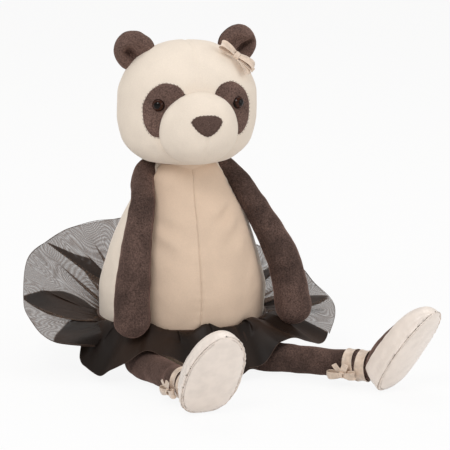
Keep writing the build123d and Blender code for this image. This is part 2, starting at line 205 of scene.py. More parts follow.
def keep_in(obj, node, gap=0.45, where=lambda point: True):
    """Moves the cover out wherever the filling would come nearer than gap mm to its outer face."""
    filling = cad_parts[node].data
    tree = BVHTree.FromPolygons([v.co for v in filling.vertices],
                                [f.vertices for f in filling.polygons])
    for vertex in obj.data.vertices:
        spot, normal, _, _ = tree.find_nearest(vertex.co)
        if (vertex.co - spot).dot(normal) < gap * MM and where(np.array(vertex.co) / MM):
            vertex.co = spot + normal * gap * MM
    obj.data.update()
    return obj


def dress(obj, body, nodes=()):
    """Hangs a finished piece on its body and hides the model's nodes that it stands for."""
    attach(obj, body)
    if nodes:
        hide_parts(*nodes)
    return obj


def rings_along(points, radii, columns, spacing, swell=None):
    """Rings of a round-ended tube along a smooth line.

    swell, if given, makes a radius larger by a share along the tube and an angle round it."""
    points = np.asarray(points, float)
    chords = np.concatenate([[0], np.cumsum(np.linalg.norm(np.diff(points, axis=0), axis=1))])
    fine = np.linspace(0, chords[-1], max(8, int(chords[-1] / spacing)))
    line = np.stack([smooth(chords, points[:, k], fine) for k in range(3)], axis=1)
    along = unit(np.gradient(line, axis=0))
    radius = smooth(chords, radii, fine)
    turns = np.linspace(0, pi / 2, 9)
    centres = [*(line[0] - along[0] * radius[0] * sin(t) for t in turns[:0:-1]), *line,
               *(line[-1] + along[-1] * radius[-1] * sin(t) for t in turns[1:])]
    tangents = [*(along[0] for _ in turns[1:]), *along, *(along[-1] for _ in turns[1:])]
    tip = 0.004                         # share of the radius that an end keeps, closed later
    sizes = [*(radius[0] * max(cos(t), tip) for t in turns[:0:-1]), *radius,
             *(radius[-1] * max(cos(t), tip) for t in turns[1:])]
    centres, tangents, sizes = np.array(centres), np.array(tangents), np.array(sizes)
    side = unit(np.array([1.0, 0.0, 0.0]) - tangents * tangents[:, :1])
    front = np.cross(tangents, side)
    angles = np.linspace(0, 2 * pi, columns, endpoint=False)
    wide = np.ones((len(sizes), columns))
    if swell is not None:
        wide = swell(np.linspace(0, 1, len(sizes))[:, None], angles[None, :])
    ring = side[:, None] * np.cos(angles)[:, None] + front[:, None] * np.sin(angles)[:, None]
    return centres[:, None] + ring * (sizes[:, None] * wide)[..., None]


# ---------------------------------------------------------------- materials

def linear(code):
    """A #rrggbb colour as the linear values that shaders take."""
    parts = [int(code[i:i + 2], 16) / 255 for i in (1, 3, 5)]
    return tuple(p / 12.92 if p <= 0.04045 else ((p + 0.055) / 1.055) ** 2.4 for p in parts)


def shade(colour, factor=1.0):
    """A colour made lighter or darker, with the fourth value that sockets take."""
    return (*(min(1.0, c * factor) for c in colour), 1)


def add(tree, kind, settings=None, **links):
    """Adds a node, sets its properties and values, and links its inputs from nodes or sockets.

    Inputs are named, or numbered as 6 in the settings and _6 in the links."""
    node = tree.nodes.new(kind)
    for key, value in (settings or {}).items():
        if isinstance(key, int) or key in node.inputs:
            node.inputs[key].default_value = value
        else:
            setattr(node, key, value)
    for key, source in links.items():
        socket = node.inputs[int(key[1:]) if key[0] == "_" else key.replace("_", " ")]
        tree.links.new(getattr(source, "outputs", [source])[0], socket)
    return node


def new_material(name, **settings):
    """A material with only a Principled shader: it, its tree, the shader and the position in metres."""
    material = bpy.data.materials.new(name)
    material.use_nodes = True
    tree = material.node_tree
    shader = tree.nodes["Principled BSDF"]
    for key, value in settings.items():
        shader.inputs[key.replace("_", " ")].default_value = value
    return material, tree, shader, add(tree, "ShaderNodeTexCoord").outputs["Object"]


def velour(name, colour, nap, tuft_shading, pile_mm, sheen, dent_mm):
    """Polyester velour, knitted and brushed: short fibres stand off it, so it has no gloss and its
    edges glow a little, and where a hand has brushed the pile it turns lighter or darker in soft
    patches. Real fibres are 0.1 mm apart; the pile is drawn as tufts of pile_mm so that it shows."""
    material, tree, shader, place = new_material(
        name, Roughness=0.92, Specular_IOR_Level=0.2, Sheen_Weight=sheen, Sheen_Roughness=0.35,
        Sheen_Tint=shade(colour, 4.0))
    lay = add(tree, "ShaderNodeTexNoise", {"Scale": 1 / (16 * MM), "Detail": 3.0}, Vector=place)
    turned = add(tree, "ShaderNodeMapRange", {"From Min": 0.38, "From Max": 0.64}, Value=lay)
    brushed = add(tree, "ShaderNodeMix", {"data_type": "RGBA", 6: shade(colour, 1 - nap),
                                          7: shade(colour, 1 + nap)}, _0=turned)
    tufts = add(tree, "ShaderNodeTexNoise", {"Scale": 1 / (pile_mm * MM), "Detail": 3.0,
                                             "Roughness": 0.65}, Vector=place)
    # painted highlight and shade: the tufts' tops are lighter and the gaps between them darker
    tuft_highlight_and_shade = add(tree, "ShaderNodeMapRange", {"From Min": 0.3, "From Max": 0.7, "To Min": 1 - tuft_shading,
                                            "To Max": 1 + tuft_shading}, Value=tufts)
    colours = add(tree, "ShaderNodeMix", {"data_type": "RGBA", "blend_type": "MULTIPLY", 0: 1.0},
                  _6=brushed.outputs[2], _7=tuft_highlight_and_shade)
    tree.links.new(colours.outputs[2], shader.inputs["Base Color"])
    pile = add(tree, "ShaderNodeBump", {"Strength": 0.5, "Distance": dent_mm * MM}, Height=tufts)
    hills = add(tree, "ShaderNodeTexNoise", {"Scale": 1 / (6 * MM)}, Vector=place)
    soft = add(tree, "ShaderNodeBump", {"Strength": 0.4, "Distance": 0.5 * MM}, Height=hills,
               Normal=pile)
    tree.links.new(soft.outputs[0], shader.inputs["Normal"])
    return material


def satin(name, colour, gloss, pucker_mm, pucker_shade):
    """Polyester satin, woven with long floats: a broad soft shine, threads that only show as slight
    streaks, and shallow puckers where it is drawn over stuffing."""
    material, tree, shader, place = new_material(
        name, Sheen_Weight=0.15, Coat_Weight=0.1, Coat_Roughness=0.3)
    along = add(tree, "ShaderNodeMapping", {"Scale": (1.0, 1.0, 0.12)}, Vector=place)
    # real floats are 0.1 mm wide, drawn coarser so that they show
    floats = add(tree, "ShaderNodeTexNoise", {"Scale": 1 / (0.7 * MM)}, Vector=along)
    pucker = add(tree, "ShaderNodeTexNoise", {"Scale": 1 / (pucker_mm * MM)}, Vector=place)
    drawn = add(tree, "ShaderNodeMapRange", {"From Min": 0.3, "From Max": 0.62}, Value=pucker)
    # painted shade: the satin is darker in the dips of the puckers
    colours = add(tree, "ShaderNodeMix", {"data_type": "RGBA", 6: shade(colour, pucker_shade),
                                          7: shade(colour, 1.04)}, _0=drawn)
    tree.links.new(colours.outputs[2], shader.inputs["Base Color"])
    rough = add(tree, "ShaderNodeMapRange", {"To Min": gloss - 0.05, "To Max": gloss + 0.09},
                Value=floats)
    tree.links.new(rough.outputs[0], shader.inputs["Roughness"])
    fine = add(tree, "ShaderNodeBump", {"Strength": 0.12, "Distance": 0.06 * MM}, Height=floats)
    wide = add(tree, "ShaderNodeBump", {"Strength": 0.45, "Distance": 0.7 * MM}, Height=pucker,
               Normal=fine)
    tree.links.new(wide.outputs[0], shader.inputs["Normal"])
    return material


def organza_cloth(name, colour, glow, cover, moire):
    """Nylon organza, a sheer plain weave of stiff filament: it darkens what is behind it, and where
    two layers of the weave cross at a slight angle they make rings and waves like wood grain, drawn
    coarser than real ones so that they show. The attribute layers counts how many thicknesses lie on
    each other: one glows warm with light from behind, and a pleat or a gathered flap is nearly
    black."""
    material, tree, shader, _ = new_material(
        name, Roughness=0.5, Specular_IOR_Level=0.2, Sheen_Weight=0.18, Sheen_Tint=shade(glow, 2.2))
    cloth = add(tree, "ShaderNodeUVMap", {"uv_map": "cloth"})
    drawn = add(tree, "ShaderNodeMapping", {"Scale": (1.0, 0.55, 1.0)}, Vector=cloth)
    drift = add(tree, "ShaderNodeTexNoise", {"Scale": 1 / (24 * MM), "Detail": 0.7,
                                             "Roughness": 0.4}, Vector=drawn)
    turns = add(tree, "ShaderNodeMath", {"operation": "MULTIPLY", 1: 250.0}, _0=drift)
    around = add(tree, "ShaderNodeSeparateXYZ", {}, Vector=cloth)
    lines = add(tree, "ShaderNodeMath", {"operation": "MULTIPLY_ADD", 1: 2.4 / MM}, _0=around,
                _2=turns)
    rings = add(tree, "ShaderNodeMath", {"operation": "SINE"}, _0=lines)
    weave = add(tree, "ShaderNodeTexNoise", {"Scale": 1 / (0.9 * MM), "Detail": 1.0}, Vector=cloth)
    fleck = add(tree, "ShaderNodeMapRange", {"From Min": 0.3, "From Max": 0.7, "To Min": -0.06,
                                             "To Max": 0.06}, Value=weave)
    waved = add(tree, "ShaderNodeMath", {"operation": "MULTIPLY_ADD", 1: 0.5 * moire, 2: cover},
                _0=rings)
    single = add(tree, "ShaderNodeMath", {"operation": "ADD", "use_clamp": True}, _0=waved,
                 _1=fleck)
    clear = add(tree, "ShaderNodeMath", {"operation": "SUBTRACT", 0: 1.0}, _1=single)
    layers = add(tree, "ShaderNodeAttribute", {"attribute_name": "layers"})
    through = add(tree, "ShaderNodeMath", {"operation": "POWER"}, _0=clear, _1=layers.outputs["Fac"])
    alpha = add(tree, "ShaderNodeMath", {"operation": "SUBTRACT", 0: 1.0, "use_clamp": True},
                _1=through)
    tree.links.new(alpha.outputs[0], shader.inputs["Alpha"])
    light = add(tree, "ShaderNodeMapRange", {"From Min": -1.0}, Value=rings)
    thin = add(tree, "ShaderNodeMix", {"data_type": "RGBA", 6: shade(glow, 0.8),
                                       7: shade(glow, 1.25)}, _0=light)
    many = add(tree, "ShaderNodeMapRange", {"From Min": 1.5, "From Max": 6.0},
               Value=layers.outputs["Fac"])
    # painted shade: the thick cloth turns darker and lighter in soft patches that stand for the shading
    # of its folds
    painted_fold_shade = add(tree, "ShaderNodeMapRange", {"From Min": 0.38, "From Max": 0.62}, Value=drift)
    deep = add(tree, "ShaderNodeMix", {"data_type": "RGBA", 6: shade(colour, 0.45),
                                       7: shade(colour, 1.3)}, _0=painted_fold_shade)
    colours = add(tree, "ShaderNodeMix", {"data_type": "RGBA"}, _0=many, _6=thin.outputs[2],
                  _7=deep.outputs[2])
    tree.links.new(colours.outputs[2], shader.inputs["Base Color"])
    dents = add(tree, "ShaderNodeBump", {"Strength": 0.15, "Distance": 0.1 * MM}, Height=weave)
    tree.links.new(dents.outputs[0], shader.inputs["Normal"])
    return material


def thread(name, colour):
    """Spun polyester sewing thread, twisted and a little waxy."""
    material, tree, shader, place = new_material(name, Roughness=0.6)
    twist = add(tree, "ShaderNodeTexNoise", {"Scale": 1 / (0.5 * MM)}, Vector=place)
    colours = add(tree, "ShaderNodeMix", {"data_type": "RGBA", 6: shade(colour, 0.8),
                                          7: shade(colour, 1.1)}, _0=twist)
    tree.links.new(colours.outputs[2], shader.inputs["Base Color"])
    return material


def eye_plastic(name, iris, pupil):
    """Polished acrylic: a black pupil and a dark amber ring under a clear dome. The attribute ring runs
    from 0 at the middle of the eye to 1 at its edge."""
    material, tree, shader, place = new_material(
        name, Roughness=0.05, Specular_IOR_Level=0.08, Coat_Weight=0.22, Coat_Roughness=0.02)
    ring = add(tree, "ShaderNodeAttribute", {"attribute_name": "ring"})
    streaks = add(tree, "ShaderNodeTexNoise", {"Scale": 1 / (0.8 * MM)}, Vector=place)
    uneven = add(tree, "ShaderNodeMath", {"operation": "MULTIPLY_ADD", 1: 0.08}, _0=streaks,
                 _2=ring.outputs["Fac"])
    inner = add(tree, "ShaderNodeMapRange", {"From Min": 0.5, "From Max": 0.62}, Value=uneven)
    outer = add(tree, "ShaderNodeMapRange", {"From Min": 0.98, "From Max": 0.88}, Value=uneven)
    seen = add(tree, "ShaderNodeMath", {"operation": "MULTIPLY"}, _0=inner, _1=outer)
    colours = add(tree, "ShaderNodeMix", {"data_type": "RGBA", 6: shade(pupil), 7: shade(iris)},
                  _0=seen)
    tree.links.new(colours.outputs[2], shader.inputs["Base Color"])
    return material


def moulded(name, colour, gloss, flow_mm=3.0):
    """Moulded polyethylene or polypropylene: even and smooth, with slight flow marks."""
    material, tree, shader, place = new_material(name, IOR=1.49)
    flow = add(tree, "ShaderNodeTexNoise", {"Scale": 1 / (flow_mm * MM)}, Vector=place)
    colours = add(tree, "ShaderNodeMix", {"data_type": "RGBA", 6: shade(colour, 0.9),
                                          7: shade(colour, 1.1)}, _0=flow)
    tree.links.new(colours.outputs[2], shader.inputs["Base Color"])
    rough = add(tree, "ShaderNodeMapRange", {"To Min": gloss, "To Max": gloss + 0.05},
                Value=flow)
    tree.links.new(rough.outputs[0], shader.inputs["Roughness"])
    return material


def fibre_fill(name, colour):
    """Polyester filling, carded into a soft tangle with no shine."""
    material, tree, shader, place = new_material(name, Roughness=1.0)
    tangle = add(tree, "ShaderNodeTexNoise", {"Scale": 1 / (1.5 * MM), "Detail": 4.0,
                                              "Roughness": 0.7}, Vector=place)
    # painted shade: the filling is darker in the hollows of the tangle
    colours = add(tree, "ShaderNodeMix", {"data_type": "RGBA", 6: shade(colour, 0.85),
                                          7: shade(colour)}, _0=tangle)
    tree.links.new(colours.outputs[2], shader.inputs["Base Color"])
    fluff = add(tree, "ShaderNodeBump", {"Strength": 0.6, "Distance": 0.4 * MM}, Height=tangle)
    tree.links.new(fluff.outputs[0], shader.inputs["Normal"])
    return material


def colour_setting(name, description, code):
    """A colour of the panel; code is its default as #rrggbb."""
    return FloatVectorProperty(name=name, description=description, subtype="COLOR", size=3, min=0,
                               max=1, default=linear(code))


class PandaSettings(bpy.types.PropertyGroup):
    """The sizes and colours that change the toy's look."""
    cream: colour_setting("Cream", "Velour of the head, back and sides", "#ecdfd0")
    beige: colour_setting("Beige", "Velour of the belly", "#dcc4ae")
    dark: colour_setting("Dark brown", "Velour of the ears, arms, legs and face patches", "#503f39")
    shoe: colour_setting("Shoe satin", "Satin of the ballet shoes", "#f0e4da")
    ribbon: colour_setting("Ribbon", "Satin ribbon of the bows and ankle wraps", "#e0cbb8")
    organza: colour_setting("Organza", "Sheer cloth of the skirt", "#271b14")
    glow: colour_setting("Organza against light", "One layer of organza lit from behind", "#523e30")
    sheer: FloatProperty(name="Cover of one layer", description="How much one layer of organza hides",
                         subtype="FACTOR", min=0.1, max=0.95, default=0.47)
    seam: FloatProperty(name="Seam depth", description="How far a seam draws the plush in",
                        unit="LENGTH", min=0, max=0.003, default=0.0012)
    gathers: IntProperty(name="Gathers", description="Small pleats at the skirt's waist, all round",
                         min=20, max=160, default=78)
    stitch: FloatProperty(name="Stitch length", description="From one visible stitch to the next",
                          unit="LENGTH", min=0.001, max=0.006, default=0.0022)


FINISHES = {}


def make_finishes(settings):
    """Makes each material once, from the panel's colours.

    Face patches and ears' fronts take a lighter copy of the dark velour: painted light falling on them."""
    cream, beige, dark, shoe, ribbon, sheer, glow = (
        tuple(getattr(settings, key))
        for key in ("cream", "beige", "dark", "shoe", "ribbon", "organza", "glow"))
    arms, face, nose, hem, shoe_thread, belly_thread, face_thread = (
        shade(colour, factor)[:3]
        for colour, factor in ((dark, 1.05), (dark, 1.68), (dark, 1.35), (sheer, 4.0), (shoe, 0.8),
                               (beige, 0.93), (dark, 1.2)))
    FINISHES.update(
        cream=velour("cream_velour", cream, nap=0.025, tuft_shading=0.03, pile_mm=0.7, sheen=0.2,
                     dent_mm=0.06),
        beige=velour("beige_velour", beige, nap=0.03, tuft_shading=0.035, pile_mm=0.7, sheen=0.2,
                     dent_mm=0.06),
        dark=velour("dark_velour", arms, nap=0.3, tuft_shading=0.6, pile_mm=0.9, sheen=1.0, dent_mm=0.25),
        # painted light: the dark velour made lighter for the face patches and ears' fronts that the
        # light falls on
        face_dark=velour("dark_velour_painted_lit", face, nap=0.16, tuft_shading=0.55, pile_mm=0.9, sheen=0.7,
                         dent_mm=0.2),
        nose=velour("nose_velour", nose, nap=0.15, tuft_shading=0.4, pile_mm=0.7, sheen=0.4, dent_mm=0.12),
        shoe=satin("shoe_satin", shoe, gloss=0.36, pucker_mm=7.0, pucker_shade=0.94),
        ribbon=satin("ribbon_satin", ribbon, gloss=0.3, pucker_mm=3.0, pucker_shade=0.8),
        organza=organza_cloth("organza", sheer, glow, settings.sheer, moire=0.28),
        hem=thread("rolled_hem_thread", hem),
        pale_thread=thread("pale_thread", shoe_thread),
        cream_thread=thread("cream_thread", belly_thread),
        dark_thread=thread("dark_thread", face_thread),
        eye=eye_plastic("polished_eye_plastic", linear("#33180c"), linear("#060303")),
        washer=moulded("moulded_washer_plastic", linear("#e6e6e2"), 0.45),
        pellets=moulded("polyethylene_pellets", linear("#e9e9e4"), 0.5, flow_mm=2.5),
        fill=fibre_fill("polyester_fill", linear("#f2f1ee")),
        pouch=fibre_fill("woven_pouch_cloth", linear("#e2e0da")),
    )


# ---------------------------------------------------------------- torso

SIDE_SEAM = 68                      # heading of the seam between the belly and the back
SEAMS = (-SIDE_SEAM, 0, SIDE_SEAM, 180)
# height, half width, half depth and lean forward of each level of the torso
TORSO = np.array([
    (0.0, 34.0, 29.9, 0.0), (5.1, 42.0, 37.5, 1.0), (13.8, 47.0, 42.5, 2.5), (28.1, 50.0, 46.0, 4.5),
    (46.0, 50.5, 47.5, 6.0), (71.0, 44.8, 41.0, 9.0), (96.0, 35.4, 29.8, 11.5),
    (110.6, 27.2, 22.8, 13.3), (118.4, 23.8, 19.4, 14.0), (122.0, 21.6, 17.6, 14.0),
    (124.6, 19.4, 16.0, 14.0)])
# soft creases of the belly: heading and height of each end, how deep and how wide, in mm
CREASES = [
    ((-34, 92), (-8, 84), 1.3, 3.2), ((-44, 84), (-16, 71), 0.8, 4.0), ((38, 101), (14, 88), 1.4, 3.0),
    ((46, 88), (20, 76), 0.8, 3.6), ((12, 92), (5, 77), 0.7, 3.0), ((-60, 74), (-40, 52), 0.6, 5.0),
    ((60, 80), (42, 56), 0.6, 5.0), ((-22, 22), (-6, 40), 0.5, 4.0), ((24, 20), (10, 36), 0.5, 4.0),
    ((-86, 66), (-104, 44), 0.9, 5.0), ((95, 62), (120, 40), 0.9, 5.0)]
PANEL_FOOT, PANEL_TOP = 4.0, 124.6  # heights that the long panels reach
STUFFED_TO = 108                    # height above which the cover doesn't rest on the filling
SEAM_TUCK = 0.5                     # how far a panel's cut edge is turned in, mm


def torso_at(height):
    """Half width, half depth and lean forward of the torso at a height."""
    return [smooth(TORSO[:, 0], TORSO[:, k], height) for k in (1, 2, 3)]


def torso_points(heading, height):
    """The plain surface of the torso at headings and heights."""
    wide, deep, lean = torso_at(height)
    turn = np.radians(heading)
    return np.stack([wide * np.sin(turn), -lean - deep * np.cos(turn), height + 0 * turn], axis=-1)


def torso_relief(heading, height, seam_depth):
    """How far the surface stands out of or in from the plain torso, in mm."""
    wide, deep, _ = torso_at(height)
    arc = np.radians(1) * 0.5 * (wide + deep)
    plain = torso_points(heading, height)
    relief = 0.7 * rumple(plain, 34, 3) + 0.25 * rumple(plain, 11, 5)
    for seam in SEAMS:
        off = ((heading - seam + 180) % 360 - 180) * arc
        drawn = seam_depth * (0.35 if seam == 0 else 1.0)      # the belly's own seam is flatter
        relief = relief - drawn * (bump(off, 1.1) + 0.5 * bump(off, 5.5))
        relief = relief + 0.16 * bump(off, 4.0) * np.sin(2 * pi * height / 5.3 + seam)
    for (h1, z1), (h2, z2), depth, width in CREASES:
        place = np.stack([((heading - h1 + 180) % 360 - 180 + h1) * arc, height], axis=-1)
        away, share = segment_distance(place, (h1 * arc.mean(), z1), (h2 * arc.mean(), z2))
        profile = bump(away, width) - 0.45 * bump(away - 2.0 * width, width)
        relief = relief - depth * np.sin(pi * np.clip(share, 0.08, 0.92)) * profile
    return relief * ramp(height, 0, 6)


def torso_panel(name, low, high, finish, seam_depth):
    """One long panel of the torso between two seams, its edges turned in."""
    headings = np.linspace(low, high, int((high - low) / 1.6))
    turn, rise = np.meshgrid(headings, np.linspace(PANEL_FOOT, PANEL_TOP, 92))
    plain = torso_points(turn, rise)
    out = unit(plain - np.stack([np.zeros_like(rise), -torso_at(rise)[2], rise], axis=-1))
    points = plain + out * torso_relief(turn, rise, seam_depth)[..., None]
    edges = [points[:, k] - SEAM_TUCK * out[:, k] for k in ([0], [-1])]
    obj = grid_mesh(name, np.concatenate([edges[0], points, edges[1]], axis=1), finish)
    return keep_in(face_away(obj, (0, -10, 60)), "torso_stuffing", gap=0.4,
                   where=lambda p: p[2] < STUFFED_TO)


def torso_base():
    """The round panel that the toy sits on, with a little of its upturned edge."""
    turns = np.linspace(0, 360, 120, endpoint=False)
    turn = np.radians(turns)
    wide, deep, _ = torso_at(0.0)
    rows = [torso_points(turns, height) for height in (PANEL_FOOT, 2.6, 1.2, 0.4)]
    for share in (0.985, 0.9, 0.7, 0.4, 0.12, 0.002):
        rows.append(np.stack([wide * share * np.sin(turn), -deep * share * np.cos(turn),
                              np.full_like(turn, 0.05)], axis=-1))
    return face_away(grid_mesh("seat_panel_cover", np.array(rows), "cream", wrap=True), (0, 0, 20))


class PANDA_OT_torso(bpy.types.Operator):
    """Sews the torso: two belly panels, two back panels and the base"""
    bl_idname, bl_label = "panda.torso", "Torso"

    def execute(self, context):
        depth = context.scene.panda.seam / MM
        for side, name in SIDES:
            for panel, finish, ends in (("belly", "beige", (0, SIDE_SEAM)),
                                        ("back", "cream", (SIDE_SEAM, 180))):
                low, high = sorted(side * end for end in ends)
                dress(torso_panel(f"{panel}_cover_{name}", low, high, finish, depth), "torso",
                      [f"{panel}_panel_{name}"])
        dress(torso_base(), "torso", ["seat_panel"])
        return {"FINISHED"}


# ---------------------------------------------------------------- head

# middle and half sizes of the head and of the muzzle, mm
HEAD_MIDDLE, HEAD_HALF = np.array([0.0, -19.0, 161.0]), np.array([42.0, 33.5, 36.8])
# height above the middle and width of each level, as shares: a narrow crown and full cheeks
HEAD_LEVELS = np.array([
    (-1, 0.0), (-0.985, 0.38), (-0.86, 0.71), (-0.55, 0.935), (-0.2, 0.995), (0.15, 0.99),
    (0.48, 0.89), (0.72, 0.71), (0.9, 0.45), (0.985, 0.17), (1, 0.0)])
MUZZLE_MIDDLE, MUZZLE_HALF = np.array([-0.6, -46.0, 150.0]), np.array([23.6, 22.5, 22.3])
EYE = (23.8, 163.0)                 # sideways and height of an eye's middle, mm
BRIDGE = np.array([0.0, -52.0, 171.0])  # where the muzzle's top seam is drawn in
HEAD_SIZE, MUZZLE_SIZE = 36, 22     # mean half size of each, mm
DENT = -2.0                         # the covers lie on the filling only outside this depth, mm


def head_width(level):
    """Width of the head at a level, as a share of its widest."""
    return smooth(HEAD_LEVELS[:, 0], HEAD_LEVELS[:, 1], level)


def out_of(points, middle, half):
    """The outward direction at points of an ellipsoid."""
    return unit((points - middle) / half ** 2)


def head_points(heading, level):
    """The plain surface of the head; level runs from -1 at the chin to 1 at the crown."""
    share = head_width(level)
    turn = np.radians(heading)
    return HEAD_MIDDLE + HEAD_HALF * np.stack([share * np.sin(turn), -share * np.cos(turn), level],
                                              axis=-1)


def muzzle_points(around, out):
    """The plain surface of the muzzle: out is 0 at the nose and 180 behind, around is 0 on top."""
    a, o = np.radians(around), np.radians(out)
    flat = np.stack([np.sin(o) * np.sin(a), -np.cos(o), np.sin(o) * np.cos(a)], axis=-1)
    flat[..., 0] *= 1 + 0.10 * np.clip(-flat[..., 2], 0, 1) - 0.06 * np.clip(flat[..., 2], 0, 1)
    return MUZZLE_MIDDLE + MUZZLE_HALF * flat


def muzzle_depth(points):
    """About how far points are outside the muzzle's plain surface, in mm; less than 0 inside."""
    return (np.linalg.norm((points - MUZZLE_MIDDLE) / MUZZLE_HALF, axis=-1) - 1) * MUZZLE_SIZE


def head_depth(points):
    """About how far points are outside the head's plain surface, in mm; less than 0 inside."""
    q = (points - HEAD_MIDDLE) / HEAD_HALF
    across = np.linalg.norm(q[..., :2], axis=-1)
    return (across - head_width(np.clip(q[..., 2], -1, 1))) * HEAD_SIZE


def head_relief(points, seam_depth):
    """How far the head's cover stands out, in mm: soft hills, the middle seam and the muzzle's seam."""
    relief = 0.35 * rumple(points, 26, 7) + 0.12 * rumple(points, 9, 8)
    relief -= seam_depth * 0.45 * bump(points[..., 0], 1.3) * (points[..., 2] > 150)
    relief -= 0.9 * bump(muzzle_depth(points), 2.6) * (points[..., 1] < -25)
    return relief - 0.6 * bump(np.linalg.norm(points - BRIDGE, axis=-1), 5.5)


def head_half(side, name, seam_depth):
    """The left or right half of the head's cover, from the middle seam round to the back."""
    headings = np.linspace(0, 180, 110) * side
    angles = np.linspace(-90, 90, 104)
    points = head_points(*np.meshgrid(headings, np.sin(np.radians(angles))))
    out = out_of(points, HEAD_MIDDLE, HEAD_HALF)
    points = points + out * head_relief(points, seam_depth)[..., None]
    obj = face_away(grid_mesh(f"head_cover_{name}_velour", points, "cream"), HEAD_MIDDLE)
    return keep_in(obj, "head_stuffing", where=lambda p: muzzle_depth(p) > DENT)


def muzzle_cover(seam_depth):
    """The domed panel, with its seam into the head and a faint one from the nose to the chin."""
    points = muzzle_points(*np.meshgrid(np.linspace(0, 360, 120, endpoint=False),
                                        np.linspace(0.5, 112, 60)))
    normal = out_of(points, MUZZLE_MIDDLE, MUZZLE_HALF)
    relief = 0.3 * rumple(points, 18, 11) + 0.1 * rumple(points, 7, 12)
    relief -= 1.3 * bump(head_depth(points), 2.4)
    below_nose = ramp(-points[..., 2], -147, -143) * ramp(points[..., 2], 126, 134)
    relief -= seam_depth * 0.6 * bump(points[..., 0], 1.2) * below_nose
    points = points + normal * relief[..., None]
    obj = face_away(grid_mesh("muzzle_velour", points, "cream", wrap=True), MUZZLE_MIDDLE)
    return keep_in(obj, "head_stuffing", where=lambda p: head_depth(p) > DENT)


def on_head(x, z):
    """Points of the head's front at sideways places and heights, and the outward direction there."""
    share = head_width(np.clip((z - HEAD_MIDDLE[2]) / HEAD_HALF[2], -0.98, 0.98))
    depth = np.sqrt(np.clip(share ** 2 - (x / HEAD_HALF[0]) ** 2, 0.01, None)) * HEAD_HALF[1]
    points = np.stack([x, HEAD_MIDDLE[1] - depth, z], axis=-1)
    out = out_of(points, HEAD_MIDDLE, HEAD_HALF)
    return points + out * head_relief(points, 0)[..., None], out


# sideways and height of the eye patch's outline, mm, on the side that it is on
PATCH = np.array([
    (8.6, 167.2), (10.0, 171.2), (14.0, 174.6), (19.6, 175.6), (25.2, 173.2), (29.8, 168.0),
    (32.0, 161.0), (31.6, 153.4), (29.2, 147.2), (25.4, 143.6), (21.6, 143.0), (18.0, 147.0),
    (14.0, 155.0), (9.6, 163.0)])
PATCH_MIDDLE = np.array([22.5, 160.0])
# share of the way from the middle to the rim, and height above the head there, mm
PATCH_LEVELS = ((0.01, 0.75), (0.2, 0.75), (0.4, 0.75), (0.6, 0.75), (0.78, 0.75), (0.9, 0.75),
                (0.96, 0.55), (1.0, 0.1), (1.0, -1.0))
NOSE = np.array([
    (-9.3, 155.0), (-8.0, 156.9), (-4.5, 158.4), (0, 158.7), (4.5, 158.4), (8.0, 156.9),
    (9.3, 155.0), (7.6, 151.8), (3.8, 148.2), (0, 146.6), (-3.8, 148.2), (-7.6, 151.8)])
NOSE_MIDDLE = np.array([0.0, 153.6])
NOSE_LEVELS = ((0.01, 1.9), (0.25, 1.85), (0.5, 1.7), (0.7, 1.45), (0.85, 1.1), (0.95, 0.6),
               (1.0, 0.1), (1.0, -1.2))
# radius and height of each ring of the eye's dome, mm
EYE_RINGS = np.array([(0.01, 3.3), (0.8, 3.24), (1.6, 3.0), (2.3, 2.6), (2.9, 2.0), (3.4, 1.3),
                      (3.7, 0.6), (3.8, 0.1), (3.75, -1.2)])


def loop_through(corners, count):
    """Evenly spaced points on a smooth closed line through the corners."""
    corners = np.asarray(corners, float)
    ring = np.concatenate([corners[-3:], corners, corners[:3]])
    steps = np.concatenate([[0], np.cumsum(np.linalg.norm(np.diff(ring, axis=0), axis=1))])
    ends = steps[3], steps[3 + len(corners)]
    x = np.linspace(*ends, count, endpoint=False)
    return np.stack([smooth(steps, ring[:, k], x) for k in range(ring.shape[1])], axis=1)


def on_muzzle(x, z):
    """Points of the muzzle's front at sideways places and heights, and the outward direction there."""
    q = (np.stack([x, z], axis=-1) - MUZZLE_MIDDLE[[0, 2]]) / MUZZLE_HALF[[0, 2]]
    depth = np.sqrt(np.clip(1 - (q ** 2).sum(axis=-1), 0.01, None)) * MUZZLE_HALF[1]
    points = np.stack([x, MUZZLE_MIDDLE[1] - depth, z], axis=-1)
    return points, out_of(points, MUZZLE_MIDDLE, MUZZLE_HALF)


def applique(name, rim, middle, levels, surface, finish):
    """A padded patch sewn on a surface: rings from its middle to its rim, at their own heights."""
    rows = []
    for share, height in levels:
        flat = middle + (rim - middle) * share
        spot, out = surface(flat[:, 0], flat[:, 1])
        rows.append(spot + out * height)
    return refine(face_away(grid_mesh(name, np.array(rows), finish, wrap=True), HEAD_MIDDLE))


def eye_dome(side, name):
    """A safety eye: a polished dome on a low rim."""
    spot, out = (found[0] for found in on_head(np.array([side * EYE[0]]), np.array([EYE[1]])))
    across = unit(np.cross([0, 0, 1.0], out))
    up = np.cross(out, across)
    turns = np.linspace(0, 2 * pi, 48, endpoint=False)
    radii, heights = EYE_RINGS.T
    circle = np.cos(turns)[:, None] * across + np.sin(turns)[:, None] * up
    points = spot + out * heights[:, None, None] + radii[:, None, None] * circle
    obj = grid_mesh("eye_dome_" + name, points, "eye", wrap=True)
    ring = obj.data.attributes.new("ring", "FLOAT", "POINT")
    ring.data.foreach_set("value", np.repeat(radii / radii.max(), len(turns)).astype(np.float32))
    return refine(face_away(obj, HEAD_MIDDLE))


class PANDA_OT_head(bpy.types.Operator):
    """Sews the head from two halves and a domed muzzle"""
    bl_idname, bl_label = "panda.head", "Head"

    def execute(self, context):
        depth = context.scene.panda.seam / MM
        for side, name in SIDES:
            dress(head_half(side, name, depth), "head", ["head_cover_" + name])
        dress(muzzle_cover(depth), "head", ["muzzle_cover"])
        return {"FINISHED"}


